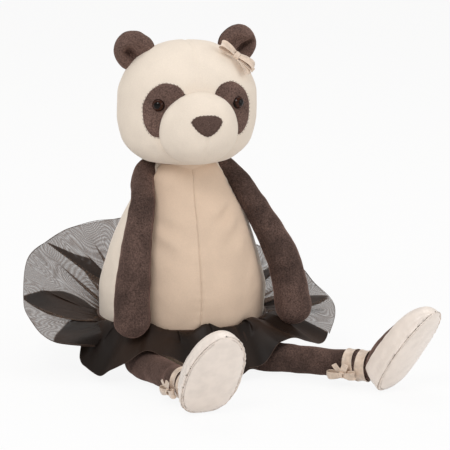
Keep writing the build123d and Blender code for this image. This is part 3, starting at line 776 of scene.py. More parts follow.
class PANDA_OT_face(bpy.types.Operator):
    """Adds the eye patches, the safety eyes and the nose"""
    bl_idname, bl_label = "panda.face", "Face"

    def execute(self, context):
        for side, name in SIDES:
            # the patches take the lighter copy of the dark velour, painted light
            patch = applique("eye_patch_velour_" + name, loop_through(PATCH, 96), PATCH_MIDDLE,
                             PATCH_LEVELS, lambda x, z: on_head(side * x, z), "face_dark")
            dress(patch, "head", ["eye_patch_" + name])
            dress(eye_dome(side, name), "head", ["eye_" + name])
        nose = applique("nose_velour", loop_through(NOSE, 84), NOSE_MIDDLE, NOSE_LEVELS, on_muzzle,
                        "nose")
        dress(nose, "head", ["nose"])
        return {"FINISHED"}


# ---------------------------------------------------------------- ears and the ear bow

EARS = {"right": (-30.6, -15.0, 191.6), "left": (32.2, -12.0, 193.4)}   # the middle of each ear
EAR_RADIUS, EAR_THICK = 12.0, 4.6
EAR_TILT, EAR_YAW = 12, 10          # how far an ear leans out and turns, in degrees
# sideways and height of the ends of the fold at an ear's base, as shares of its radius
EAR_CREASES = {"right": ((-0.32, 0.0), (0.10, -0.62)), "left": ((0.58, 0.22), (0.0, -0.64))}


def ear_half(side, name, front):
    """One face of an ear: the back is domed, the front is scooped with a pleat rising from its base."""
    angles = np.linspace(0, 2 * pi, 96, endpoint=False)
    shares = np.array([0.01, 0.1, 0.2, 0.3, 0.4, 0.5, 0.6, 0.7, 0.79, 0.87, 0.93, 0.975, 1.0])
    a, share = np.meshgrid(angles, shares)
    x, z = share * np.cos(a), share * np.sin(a)
    edge = np.sqrt(np.clip(1 - share ** 2, 0, 1))
    if front:
        away, _ = segment_distance(np.stack([x, z], axis=-1), *EAR_CREASES[name])
        hollow = 4.4 * ramp(np.hypot(x - 0.1 * side, z + 0.22), 0.8, 0.25)
        crease = 5.2 * bump(away, 0.15) - 2.2 * bump(away - 0.34, 0.2)
        depth = -EAR_THICK * np.minimum(1, 1.4 * edge) + hollow + crease * edge ** 0.5
        depth = np.minimum(depth, EAR_THICK * edge - 0.8)
    else:
        depth = EAR_THICK * edge
    depth = depth * (1 - 0.25 * ramp(-z, 0.2, 1))
    inner_side = np.cos(a - (0.72 if side > 0 else 0.28) * pi)
    size = EAR_RADIUS * (1.02 - 0.09 * np.clip(inner_side, 0, 1) ** 4)
    points = np.stack([x * size, depth, z * size], axis=-1)
    points += 0.25 * rumple(points, 6, 20 + side)[..., None]
    tilt, turn = radians(-side * EAR_TILT), radians(side * EAR_YAW)
    spin = np.array([[cos(tilt), 0, -sin(tilt)], [0, 1, 0], [sin(tilt), 0, cos(tilt)]]).T
    yaw = np.array([[cos(turn), -sin(turn), 0], [sin(turn), cos(turn), 0], [0, 0, 1]]).T
    points = points @ spin @ yaw + np.array(EARS[name])
    # the front takes the lighter copy of the same velour, painted light where the ear faces the lamps
    obj = grid_mesh(f"ear_{'front' if front else 'back'}_velour_{name}", points,
                    "face_dark" if front else "dark", wrap=True)
    return refine(face_away(obj, np.array(EARS[name]) + np.array([0, 6 if front else -6, 0])))


def ribbon_strip(line, across, width, pinch=None):
    """Points of a slightly cupped ribbon that follows a line, its width along across."""
    line, across = np.asarray(line, float), unit(np.asarray(across, float))
    sizes = np.full(len(line), width) if pinch is None else width * np.asarray(pinch)
    lanes = np.linspace(-0.5, 0.5, 7)
    along = unit(np.gradient(line, axis=0))
    out = unit(np.cross(along, across))
    cup = 0.10 * (1 - 4 * lanes ** 2)
    return (line[:, None] + across[:, None] * (lanes * sizes[:, None])[..., None]
            + out[:, None] * (cup * sizes[:, None])[..., None])


def bow_parts(loop, width, tails, droop=(-62, -118)):
    """Strips of a bow in its own frame, facing +Z: two loops, two tails and a knot."""
    strips = {"loops": [], "tails": [], "knot": []}
    turns = np.linspace(0, 2 * pi, 40)
    bulge = np.sin(turns / 2)
    for way in (1, -1):
        height = 0.42 * loop * np.sin(turns) * (0.35 + 0.65 * bulge ** 2) + 0.25 * width
        line = np.stack([way * loop * (1 - np.cos(turns)), 0.10 * loop * way * bulge ** 2, height],
                        axis=-1)
        across = np.tile([0.0, 1.0, 0.05], (len(turns), 1))
        strips["loops"].append(ribbon_strip(line, across, width, 0.45 + 0.55 * np.abs(bulge) ** 0.8))
    t = np.linspace(0, 1, 16)
    for k, angle in enumerate(droop):
        way = np.array([cos(radians(angle)), sin(radians(angle)), 0])
        height = 0.1 * width + 0.09 * tails * np.sin(t * (2.4 + k))
        line = way * (t * tails)[:, None] + np.array([0, 0, 1.0]) * height[:, None]
        across = np.tile(np.cross(way, [0, 0, 1.0]), (len(t), 1))
        strips["tails"].append(ribbon_strip(line, across, 0.78 * width, 0.5 + 0.5 * ramp(t, 0, 0.35)))
    t = np.linspace(0, 2 * pi, 25)
    line = width * np.stack([np.zeros_like(t), 0.30 * np.cos(t), 0.26 * np.sin(t) + 0.24], axis=-1)
    across = np.tile([1.0, 0, 0], (len(t), 1))
    strips["knot"].append(ribbon_strip(line, across, 0.5 * width, 1 + 0.12 * np.cos(2 * t)))
    return strips


def placed(points, place, axes):
    """Points of a piece's own frame, whose rows are its X, Y and Z, as points of the toy."""
    return np.asarray(points) @ np.asarray(axes, float) + np.asarray(place, float)


def ribbon_object(name, strips, place, frame_axes, thickness=0.45):
    """Joins strips into one ribbon piece; frame_axes are the bow's own X, Y and Z directions."""
    points, faces = [], []
    for strip in strips:
        faces += grid_faces(*strip.shape[:2], first=len(points))
        points += list(placed(strip.reshape(-1, 3), place, frame_axes))
    obj = make_mesh(name, points, faces, FINISHES["ribbon"])
    return refine(thicken(obj, thickness))


def axes_facing(out, along):
    """Rows X, Y, Z of a frame that faces out, its X as near to along as it can be."""
    out = unit(np.asarray(out, float))
    side = unit(np.asarray(along, float) - out * np.dot(along, out))
    return np.array([side, np.cross(out, side), out])


class PANDA_OT_ears(bpy.types.Operator):
    """Sews the two ears"""
    bl_idname, bl_label = "panda.ears", "Ears"

    def execute(self, context):
        for side, name in SIDES:
            for front in (False, True):
                dress(ear_half(side, name, front), "head",
                      [f"ear_{'front' if front else 'back'}_{name}"])
        return {"FINISHED"}


class PANDA_OT_ear_bow(bpy.types.Operator):
    """Ties the satin bow at the left ear"""
    bl_idname, bl_label = "panda.ear_bow", "Ear bow"

    def execute(self, context):
        axes = axes_facing((0.42, -0.62, 0.66), (0.72, -0.05, -0.70))
        for part, strips in bow_parts(5.9, 6.6, 13.5, (-8, -28)).items():
            obj = ribbon_object("ear_ribbon_" + part, strips, (25.1, -35.5, 188.3), axes)
            dress(obj, "head", ["ear_bow_" + part])
        return {"FINISHED"}


# ---------------------------------------------------------------- arms

# points of the middle line of each arm from the shoulder to the paw, and the radius at each, mm
ARM_LINES = {
    "right": [(-22.0, -12.6, 121.0), (-27.2, -19.4, 115.5), (-31.0, -35.0, 104.0),
              (-36.0, -43.0, 82.0), (-40.0, -48.8, 58.0), (-41.3, -50.0, 37.5)],
    "left": [(22.5, -13.4, 121.0), (29.0, -16.2, 115.0), (38.0, -20.8, 102.5),
             (48.1, -25.8, 84.5), (57.5, -32.0, 60.0), (60.8, -37.5, 37.0)]}
ARM_RADII = [6.4, 6.8, 7.2, 8.4, 10.0, 10.4]
ARM_SIZE = 9                        # mean radius of an arm, mm


def arm(side, name, seam_depth):
    """One stuffed arm, closed at the shoulder, with a seam down its front."""
    def swell(share, angle):
        return 1 + 0.035 * np.cos(2 * angle) + 0.03 * np.sin(9 * share + side) * np.cos(angle)

    points = rings_along(ARM_LINES[name], ARM_RADII, columns=64, spacing=1.2, swell=swell)
    obj = close_and_turn_out(grid_mesh("arm_velour_" + name, points, "dark", wrap=True))
    middle = points.mean(axis=1)
    seam = unit(np.array([0.9 * -side, -0.35, 0.0]))

    def relief(spots, normals):
        nearest = np.abs(spots[:, 2][:, None] - middle[:, 2][None, :]).argmin(axis=1)
        outward = spots - middle[nearest]
        off = np.linalg.norm(np.cross(unit(outward + 1e-6), seam), axis=1) * ARM_SIZE
        folds = 0.55 * rumple(spots, 15, 31 + side) + 0.28 * rumple(spots, 6.5, 37 + side)
        return folds - seam_depth * 0.7 * bump(off, 1.1) * (outward @ seam > 0)
    return refine(keep_in(push(obj, relief), "arm_stuffing_" + name, gap=0.7))


class PANDA_OT_arms(bpy.types.Operator):
    """Sews the two stuffed arms"""
    bl_idname, bl_label = "panda.arms", "Arms"

    def execute(self, context):
        depth = context.scene.panda.seam / MM
        for side, name in SIDES:
            dress(arm(side, name, depth), "arm_" + name, ["arm_cover_" + name])
        return {"FINISHED"}


# ---------------------------------------------------------------- legs and feet

# where the left leg starts, and the sizes of legs and feet, in mm and degrees
HIP = np.array([34.5, -38.0, 9.6])
HIP_RADIUS, ANKLE_RADIUS, ANKLE_HEIGHT, LEG_LENGTH = 8.6, 7.8, 12.6, 82.0
LEG_HEADING = {"right": 10.0, "left": 44.0}
FOOT_TURNOUT = {"right": 1.0, "left": -6.5}
FOOT_POINT = 34.0
SOLE_LENGTH, SOLE_HALF_WIDTH, FOOT_DEPTH = 60.0, 17.2, 20.0
ANKLE_TO_SOLE, HEEL_DROP, SHOE_OPENING = 14.0, 4.7, 13.0
BAND_WIDTH, BAND_SPACING, BAND_OFFSET = 6.4, 7.2, 5.2
# share of the sole's length, of its half width and of the foot's depth along the foot
FOOT_LEVELS = np.array([
    (0.0, 0.0, 0.0), (0.012, 0.36, 0.35), (0.05, 0.62, 0.70), (0.13, 0.83, 0.95), (0.27, 0.96, 1.0),
    (0.47, 1.0, 0.92), (0.67, 0.92, 0.77), (0.83, 0.72, 0.60), (0.93, 0.48, 0.42), (0.988, 0.2, 0.2),
    (1.0, 0.0, 0.0)])
MM_PER_DEGREE = 17 / 90             # length of the foot's surface for a degree round it
WELT_STITCHES, PUCKERS = 15, 14     # how many lie along a sole


def toward(heading):
    """The level direction of a heading."""
    return np.array([sin(radians(heading)), -cos(radians(heading)), 0.0])


def leg_ends(side, name):
    """The hip's and the ankle's end of a leg's middle line."""
    start = HIP * np.array([side, 1, 1])
    flat = sqrt(LEG_LENGTH ** 2 - (ANKLE_HEIGHT - HIP[2]) ** 2)
    return start, start + toward(LEG_HEADING[name]) * flat + np.array([0, 0, ANKLE_HEIGHT - HIP[2]])


def foot_frame(side, name):
    """Heel point of the sole and rows X across, Y heel to toe, Z out of the sole."""
    forward = toward(LEG_HEADING[name] + side * FOOT_TURNOUT[name])
    up = np.array([0, 0, 1.0])
    toes = up * cos(radians(FOOT_POINT)) + forward * sin(radians(FOOT_POINT))
    outward = forward * cos(radians(FOOT_POINT)) - up * sin(radians(FOOT_POINT))
    heel = leg_ends(side, name)[1] + outward * ANKLE_TO_SOLE - toes * HEEL_DROP
    return heel, np.array([np.cross(toes, outward), toes, outward])


def foot_depth(along):
    """Depth of the foot from the sole to the instep, at a share of its length."""
    return smooth(FOOT_LEVELS[:, 0], FOOT_LEVELS[:, 2], along) * FOOT_DEPTH


def foot_surface(along, around):
    """Points of the foot in its own frame; around is 0 in the instep's middle, 180 in the sole's."""
    wide = smooth(FOOT_LEVELS[:, 0], FOOT_LEVELS[:, 1], along) * SOLE_HALF_WIDTH
    a = np.radians(around)
    sole = np.where(np.cos(a) < 0, 0.10, 1.0)
    return np.stack([wide * np.sin(a), along * SOLE_LENGTH, -foot_depth(along) * np.cos(a) * sole],
                    axis=-1)


def foot_rows(count=72):
    """Shares of the foot's length, closer together at the heel and the toe."""
    return 0.5 - 0.5 * np.cos(np.linspace(0.035, pi - 0.035, count))


def foot_piece(name, side, foot, kind):
    """One cover of a foot: the satin sole or upper, or the velour instep above the shoe's edge."""
    place, axes = foot_frame(side, foot)
    rows = foot_rows()
    # the shoe's edge stands a fixed way up from the sole, lower where the foot is shallow
    share = np.clip(SHOE_OPENING / np.maximum(foot_depth(rows), 0.1), 0, 1)
    edge = np.degrees(np.arccos(share))[:, None]
    if kind == "sole":
        around = np.repeat(180 + np.linspace(-89, 89, 61)[None, :], len(rows), axis=0)
    elif kind == "upper":
        near = edge + (100 - edge) * np.linspace(0, 1, 26)
        around = np.concatenate([near, (360 - near)[:, ::-1]], axis=1)
    else:
        around = (edge + 1) * np.linspace(-1.06, 1.06, 41)
    along = np.repeat(rows[:, None], around.shape[1], axis=1)
    points = foot_surface(along, around)
    middle = np.stack([np.zeros_like(along), along * SOLE_LENGTH, -0.4 * foot_depth(along)], axis=-1)
    out = unit(points - middle)
    wrinkle = 0.35 * rumple(points, 9, 50 + side) + 0.15 * rumple(points, 4, 53)
    faces = grid_faces(*points.shape[:2])
    if kind == "sole":
        off = (90 - np.abs(around - 180)) * MM_PER_DEGREE
        out = np.array([0, 0, 1.0])
        dome = (1.5 * np.clip(1 - (points[..., 0] / 17.5) ** 2, 0, 1)
                * np.sin(pi * np.clip(along, 0.02, 0.98)) ** 0.5)
        welt = (0.35 * bump(off - 0.2, 0.8) - 0.45 * bump(off - 2.4, 1.2)
                + 0.14 * np.sin(along * 2 * pi * WELT_STITCHES) * bump(off, 4.0))
        relief = dome + 0.25 * wrinkle + welt
    elif kind == "upper":
        off = np.minimum(np.abs(around - 90), np.abs(around - 270)) * MM_PER_DEGREE
        off = np.where(np.cos(np.radians(around)) < 0, -off, off)
        welt = 0.3 * bump(off - 0.9, 0.9) - 0.5 * bump(off - 2.9, 1.2) - 0.9 * ramp(off, 0.2, -1.6)
        pucker = (0.22 * np.sin(along * 2 * pi * PUCKERS) * bump(off, 5.0) * ramp(off, 0, 0.6))
        relief = 0.55 + wrinkle * 0.8 + welt + pucker
        # its two sides aren't joined across the sole
        faces = [f for f in faces if f[0] % around.shape[1] != around.shape[1] // 2 - 1]
    else:
        relief = 0.35 * wrinkle - 0.35
    points = placed(points + out * relief[..., None], place, axes)
    obj = make_mesh(name, points, faces, FINISHES["dark" if kind == "instep" else "shoe"])
    inside = placed([0, 30, -8], place, axes)
    return keep_in(face_away(obj, inside), "foot_stuffing_" + foot, gap=0.35)


def leg(side, name):
    """One stuffed leg: folds, a crease below the knee, and drawn in where the ribbons lie."""
    start, end = leg_ends(side, name)
    points = rings_along([start, 0.5 * (start + end), end],
                         [HIP_RADIUS, 0.5 * (HIP_RADIUS + ANKLE_RADIUS), ANKLE_RADIUS],
                         columns=56, spacing=1.3)
    obj = close_and_turn_out(grid_mesh("leg_velour_" + name, points, "dark", wrap=True))
    along = unit(end - start)

    def relief(spots, normals):
        length = (spots - start) @ along
        folds = 0.45 * rumple(spots, 13, 60 + side) + 0.2 * rumple(spots, 6, 63)
        crease = 0.7 * bump(length - 52, 2.0) * (rumple(spots, 14, 66) + 0.3)
        wrapped = ramp(length, LEG_LENGTH - 18, LEG_LENGTH - 13)
        return (folds - np.clip(crease, -0.4, 1)) * (1 - 0.8 * wrapped) - 0.5 * wrapped
    return refine(keep_in(push(obj, relief), "leg_stuffing_" + name))


def ankle_wrap(side, foot, turn):
    """One turn of ribbon round the ankle, a little aslant."""
    start, end = leg_ends(side, foot)
    along = unit(start - end)
    middle = end + along * (BAND_OFFSET + turn * BAND_SPACING)
    across = unit(np.cross(along, [0, 0, 1.0]))
    up = np.cross(across, along)
    t = np.linspace(0, 2 * pi, 65)[:, None]
    slant = 0.8 * np.sin(t + (0 if turn else 2.2))
    radius = ANKLE_RADIUS + 1.5 + 0.12 * turn + 0.15 * np.sin(3 * t + turn)
    line = middle + radius * (np.cos(t) * across + np.sin(t) * up) + slant * along
    uneven = 1 + 0.06 * np.sin(2 * t[:, 0] + turn)
    strip = ribbon_strip(line, np.tile(along, (len(t), 1)), BAND_WIDTH, uneven)
    obj = grid_mesh(f"ankle_ribbon_{'upper' if turn else 'lower'}_satin_{foot}", strip, "ribbon")
    return refine(thicken(close_and_turn_out(obj), 0.5))


def ankle_bow(side, foot):
    """The small bow on the ribbon's upper turn, at the toy's right side of each ankle."""
    start, end = leg_ends(side, foot)
    along = unit(start - end)
    across = np.cross([0, 0, 1.0], along)
    way = -1 if across[0] > 0 else 1
    lean = radians(22)
    facing = unit(unit(across) * way * cos(lean) - np.array([0, 0, sin(lean)]))
    place = end + along * (BAND_OFFSET + BAND_SPACING + 2.5) + facing * (ANKLE_RADIUS + 2.4)
    parts = bow_parts(4.6, 5.2, 8.0)
    return ribbon_object("ankle_bow_satin_" + foot, parts["loops"] + parts["tails"] + parts["knot"],
                         place, axes_facing(facing, along * way), 0.4)


class PANDA_OT_legs(bpy.types.Operator):
    """Sews the two stuffed legs"""
    bl_idname, bl_label = "panda.legs", "Legs"

    def execute(self, context):
        for side, name in SIDES:
            dress(leg(side, name), "leg_" + name, ["leg_cover_" + name])
        return {"FINISHED"}


class PANDA_OT_shoes(bpy.types.Operator):
    """Sews the feet: velour instep, satin upper and satin sole"""
    bl_idname, bl_label = "panda.shoes", "Ballet shoes"

    def execute(self, context):
        for side, name in SIDES:
            for kind, piece, slot, node in (
                    ("instep", "foot_instep_cloth_", "dark_plush", "instep_cover_"),
                    ("upper", "shoe_upper_cloth_", "shoe_satin", "shoe_upper_"),
                    ("sole", "shoe_sole_cloth_", "shoe_satin", "shoe_sole_")):
                dress(foot_piece(piece + name, side, name, kind), "foot_" + name, [node + name])
        return {"FINISHED"}


class PANDA_OT_ankle_ribbons(bpy.types.Operator):
    """Wraps a ribbon twice round each ankle and ties it in a small bow"""
    bl_idname, bl_label = "panda.ankle_ribbons", "Ankle ribbons"

    def execute(self, context):
        for side, name in SIDES:
            for turn in range(2):
                dress(ankle_wrap(side, name, turn), "leg_" + name,
                      [f"ankle_ribbon_{'upper' if turn else 'lower'}_{name}"])
            dress(ankle_bow(side, name), "leg_" + name, ["ankle_bow_" + name])
        return {"FINISHED"}


# ---------------------------------------------------------------- skirt

# heading, radius and height of the hem of each piece of the skirt, in degrees and mm
HEMS = {
    "back": [(72, 90, 18), (88, 96, 30), (103, 94, 38), (118, 97, 48), (134, 95, 55), (150, 97, 62),
             (165, 95, 66), (180, 97, 73), (196, 95, 72), (212, 96, 70), (228, 94, 66),
             (244, 95.5, 60), (259, 95, 47), (265, 95.5, 43), (272, 96.5, 38), (279, 95, 32),
             (284, 92, 26), (289, 86, 22), (294, 78, 21), (298, 68, 20)],
    "flap_right": [(281, 60, 26), (284, 66, 24), (288, 70, 18), (291, 73, 12), (295, 74, 8),
                   (300, 74, 6), (306, 74, 5.5), (312, 73, 8), (318, 71, 13), (324, 69, 18.5),
                   (331, 67, 20), (338, 67, 18)],
    "flap_centre": [(332, 66, 20.5), (341, 66, 17), (349, 66, 14), (359, 65.5, 11), (369, 66, 7),
                    (379, 66, 6), (389, 67, 7)],
    "flap_left": [(383, 66, 7), (387, 67, 8), (393, 70, 12), (399, 74, 20), (406, 77, 22.5),
                  (413, 81, 20), (422, 85, 15), (433, 89, 17), (436, 89, 17)]}
# the pleats that lie flat: heading and half width in degrees, how far the cloth laps over, and
# their reach, where 1 is the hem
PLEATS = {
    "back_outer": [(84, 2.5, 2.6, 0.9), (104, 3.0, 3.2, 1.0), (121, 2.2, 2.2, 0.8),
                   (141, 2.6, 2.6, 0.9), (160, 2.2, 2.2, 0.8), (178, 2.8, 3.0, 0.95),
                   (197, 2.2, 2.2, 0.8), (214, 2.6, 2.8, 0.7), (234, 3.0, 1.8, 0.9),
                   (256, 2.4, 1.6, 0.8), (277, 2.4, 1.6, 0.8)],
    "back_inner": [(92, 2.4, 2.4, 0.8), (112, 2.4, 2.4, 0.9), (131, 2.2, 2.2, 0.8),
                   (150, 2.4, 2.4, 0.9), (169, 2.2, 2.2, 0.8), (188, 2.4, 2.4, 0.8),
                   (206, 2.2, 2.2, 0.9), (223, 2.0, 2.4, 0.5), (248, 1.8, 2.2, 0.4),
                   (276, 2.0, 2.2, 0.4)],
    "flap_right": [(300, 2.0, 2.2, 0.6), (319, 2.0, 2.2, 0.6)],
    "flap_centre": [(346, 1.8, 2.0, 0.5), (366, 1.8, 2.0, 0.6)],
    "flap_left": [(392, 1.8, 2.0, 0.5), (411, 2.2, 2.4, 0.7)]}
# where the back's cloth lies folded on itself and hides what is behind: heading at the hem and at
# the waist, half width in degrees, reach, and whether it narrows to the waist too
FOLDS = [(265, 259, 14, 1.02, True), (229, 208, 7, 1.0, False), (302, 288, 16, 9.0, False),
         (121, 128, 6, 0.9, False), (93, 93, 7, 1.0, True), (160, 160, 7, 0.8, False)]
# heading of points of the front and how far the gathered cloth puffs up there, in mm
PUFF = np.array([(-79, 1.0), (-66, 4.5), (-50, 2.5), (-35, 7.0), (-26, 4.0), (-17, 2.5), (-10, 1.0),
                 (3, 7.0), (14, 3.5), (24, 3.5), (35, 6.5), (48, 3.0), (60, 5.0), (76, 1.0)])
HEM_MIDDLE = 3.0                    # how far in front of the origin the hem's middle lies, mm
OFF_TORSO = 0.9                     # how far out from the torso the gathered edge lies, mm
PLEATED, FLAP_LAYERS = 6.0, 14.0    # thicknesses of cloth that a fold and a gathered flap add


def lay_pleats(piece, heading, reach_down):
    """Where each point of the cloth turns to, how far it rises, and how much it is piled up."""
    turned, rise, pile = heading.copy(), np.zeros_like(heading), np.zeros_like(heading)
    for middle, half, lap, reach in PLEATS[piece]:
        x = (heading - middle) / half
        fade = np.clip(1 - reach_down / reach, 0, 1) ** 0.65
        slide = x * np.exp((1 - x * x) / 2) * fade
        turned -= lap * half * slide
        rise += slide
        pile += 0.25 * bump(x, 1.2) * fade
    for at_hem, at_waist, half, reach, lens in () if piece.startswith("flap") else FOLDS:
        share = np.clip(reach_down / reach, 0, 1)
        wedge = half * (np.sin(pi * share ** 0.5) ** 0.8 if lens else (1 - share) ** 0.8)
        middle = at_waist + (at_hem - at_waist) * reach_down
        pile = np.maximum(pile, ramp(wedge - np.abs(heading - middle), 0, 0.6))
    return turned, rise, pile


def skirt_sheet(piece, settings, drop=0.0, seed=0.0):
    """The cloth of one skirt piece: its points, their places on the flat cut, its thicknesses, and
    the cut's width and depth in metres."""
    front = piece.startswith("flap")
    hem = np.array(HEMS[piece if front else "back"], float)
    headings = np.linspace(hem[0, 0], hem[-1, 0], int((hem[-1, 0] - hem[0, 0]) / 0.4))
    h, s = np.meshgrid(headings, np.linspace(0, 1, 60) ** 1.15)     # s is 0 at the waist, 1 at the hem
    turned, rise, pile = lay_pleats(piece, h, s)
    turn = np.radians(turned)
    waist = 29.5 - 1.5 * np.cos(turn)
    wide, deep, lean = torso_at(waist)
    inner = np.stack([(wide + OFF_TORSO) * np.sin(turn), -lean - (deep + OFF_TORSO) * np.cos(turn),
                      waist - 0.4 * drop], axis=-1)
    radius = smooth(hem[:, 0], hem[:, 1], h)
    height = smooth(hem[:, 0], hem[:, 2], h) - drop * (1 - 0.85 * s ** 3)
    outer = np.stack([radius * np.sin(turn), -HEM_MIDDLE - radius * np.cos(turn), height], axis=-1)
    points = inner + (outer - inner) * s[..., None]
    lift = inner[..., 2] + (height - inner[..., 2]) * np.where(height < waist, s ** 1.6, s)
    # the small gathers at the waist and the broad waves further out
    round_waist = np.stack([np.sin(turn) * 60, np.cos(turn) * 60, s * 12], axis=-1)
    gather = np.sin(np.radians(h) * settings.gathers + 2.0 * rumple(round_waist, 9, seed + 2))
    roll = rumple(round_waist, 13, seed + 4, 1)
    thick = np.ones_like(h) + PLEATED * pile + (1.8 + 1.8 * gather) * np.exp(-s / 0.17)
    if front:
        puff = smooth(PUFF[:, 0], PUFF[:, 1], (turned + 180) % 360 - 180)
        lift += puff * (s / 0.2) * np.exp(1 - s / 0.2) + 3.6 * roll * ramp(s, 0.1, 0.6) * (1 - 0.4 * s)
        lift += 1.3 * np.sin(np.radians(h) * 21 + 2.5 * roll) * ramp(s, 0.1, 0.45) * (1.2 - 0.6 * s)
        lift += 0.35 * gather * np.exp(-s / 0.12) * ramp(s, 0, 0.05)
        thick += FLAP_LAYERS
    else:
        lift += (1.0 if drop else 2.0) * roll * ramp(s, 0.1, 0.7) * (1 - 0.5 * s)
        lift += 0.9 * gather * np.exp(-s / 0.2) * ramp(s, 0, 0.05)
    points[..., 2] = lift + rise * (0.35 + 1.2 * s)
    steps = np.linalg.norm(np.diff(points[-1], axis=0), axis=-1)
    across = np.concatenate([[0], np.cumsum(steps)]) * MM
    down = float(np.linalg.norm(outer - inner, axis=-1).mean()) * MM
    flat = np.stack([np.broadcast_to(across, h.shape), s * down + 0.1 * seed], axis=-1)
    return points, flat, thick, (across[-1], down)


def hem_roll(name, line, radius=0.13, corners=6):
    """The narrow rolled edge of the cloth, sewn over with thread."""
    along = unit(np.gradient(line, axis=0))
    side = unit(np.cross(along, [0.0, 0.0, 1.0]))
    up = np.cross(side, along)
    turns = np.linspace(0, 2 * pi, corners, endpoint=False)[:, None]
    ring = np.cos(turns) * side[:, None] + np.sin(turns) * up[:, None]
    ends = [np.repeat(line[k, None], corners, axis=1) for k in ([0], [-1])]
    points = np.concatenate([ends[0], line[:, None] + radius * ring, ends[1]])
    return close_and_turn_out(grid_mesh(name, points, "hem", wrap=True))


def skirt_piece(piece, settings, drop=0.0, seed=0.0):
    """One sheet of the skirt and its rolled hem; drop lowers it under the layer above, in mm."""
    points, flat, thick, cut = skirt_sheet(piece, settings, drop, seed)
    obj = grid_mesh("organza_" + piece, points, "organza", flat_map=flat)
    layers = obj.data.attributes.new("layers", "FLOAT", "POINT")
    layers.data.foreach_set("value", thick.astype(np.float32).ravel())
    face_away(obj, (0, 0, -200))
    roll = hem_roll("rolled_hem_" + piece, points[-1])
    for part in (obj, roll):
        dress(part, "torso", ["tutu_" + piece])
    return obj, roll


class PANDA_OT_skirt(bpy.types.Operator):
    """Gathers the organza skirt: two layers behind and three ruffled flaps in front"""
    bl_idname, bl_label = "panda.skirt", "Skirt"

    def execute(self, context):
        settings = context.scene.panda
        skirt_piece("back_outer", settings, seed=1.0)
        skirt_piece("back_inner", settings, drop=2.2, seed=2.0)
        for seed, piece, leg_side in ((3.0, "flap_right", "right"), (4.0, "flap_centre", "right"),
                                      (5.0, "flap_left", "left")):
            for part in skirt_piece(piece, settings, seed=seed):
                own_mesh(part)
        return {"FINISHED"}


# ---------------------------------------------------------------- stitches

STITCH_SHARE = 0.62                 # a stitch's length as a share of the step to the next


def stitch_tree():
    """A node tree that sews a row of short stitches along a curve."""
    tree = bpy.data.node_groups.new("stitch_row", "GeometryNodeTree")
    face = tree.interface
    face.new_socket("Seam", in_out="INPUT", socket_type="NodeSocketGeometry")
    for label, kind, default in (("Spacing", "Float", 0.0022), ("Stitch length", "Float", 0.0014),
                                 ("Thread", "Float", 0.0003), ("Unevenness", "Float", 0.15),
                                 ("Seed", "Int", 7), ("Finish", "Material", None)):
        socket = face.new_socket(label, in_out="INPUT", socket_type="NodeSocket" + kind)
        if default is not None:
            socket.default_value = default
    face.new_socket("Stitches", in_out="OUTPUT", socket_type="NodeSocketGeometry")
    inputs = add(tree, "NodeGroupInput").outputs
    row = add(tree, "GeometryNodeCurveToPoints", {"mode": "LENGTH"}, Curve=inputs["Seam"],
              Length=inputs["Spacing"])
    size = add(tree, "ShaderNodeCombineXYZ", {}, X=inputs["Thread"], Y=inputs["Thread"],
               Z=inputs["Stitch length"])
    ball = add(tree, "GeometryNodeMeshUVSphere", {"Segments": 6, "Rings": 5, "Radius": 0.5})
    stitch = add(tree, "GeometryNodeTransform", {}, Geometry=ball, Scale=size)
    less = add(tree, "ShaderNodeMath", {"operation": "SUBTRACT", 0: 1.0}, _1=inputs["Unevenness"])
    more = add(tree, "ShaderNodeMath", {"operation": "ADD", 0: 1.0}, _1=inputs["Unevenness"])
    vary = add(tree, "FunctionNodeRandomValue", {}, _2=less, _3=more, Seed=inputs["Seed"])
    sewn = add(tree, "GeometryNodeInstanceOnPoints", {}, Points=row, Instance=stitch,
               Rotation=row.outputs["Rotation"], Scale=vary.outputs[1])
    real = add(tree, "GeometryNodeRealizeInstances", {}, Geometry=sewn)
    done = add(tree, "GeometryNodeSetMaterial", {}, Geometry=real, Material=inputs["Finish"])
    add(tree, "NodeGroupOutput", {}, Stitches=done)
    return tree


def sew(name, lines, finish, settings, thread_mm):
    """Sews stitches along open or closed lines, given as points in mm, and leaves one plain mesh."""
    curve = bpy.data.curves.new(name + "_line", "CURVE")
    curve.dimensions = "3D"
    for line in lines:
        spline = curve.splines.new("POLY")
        spline.points.add(len(line) - 1)
        weighted = np.concatenate([np.asarray(line) * MM, np.ones((len(line), 1))], axis=1)
        spline.points.foreach_set("co", weighted.ravel())
    guide = bpy.data.objects.new(name + "_line", curve)
    bpy.context.scene.collection.objects.link(guide)
    tree = bpy.data.node_groups.get("stitch_row") or stitch_tree()
    modifier = guide.modifiers.new("Stitches", "NODES")
    modifier.node_group = tree
    values = {"Spacing": settings.stitch, "Stitch length": settings.stitch * STITCH_SHARE,
              "Thread": thread_mm * MM, "Finish": FINISHES[finish]}
    for item in tree.interface.items_tree:
        if item.in_out == "INPUT" and item.name in values:
            modifier[item.identifier] = values[item.name]
    bpy.context.view_layer.update()
    sewn = guide.evaluated_get(bpy.context.evaluated_depsgraph_get())
    mesh = bpy.data.meshes.new_from_object(sewn)
    bpy.data.objects.remove(guide)
    obj = bpy.data.objects.new(name, mesh)
    bpy.context.scene.collection.objects.link(obj)
    mesh.polygons.foreach_set("use_smooth", [True] * len(mesh.polygons))
    return obj


def round_patch(outline, count, surface, height):
    """A closed line round a patch, at a height above the surface that it is sewn on."""
    rim = loop_through(outline, count)
    spot, out = surface(rim[:, 0], rim[:, 1])
    line = spot + out * height
    return np.concatenate([line, line[:1]])


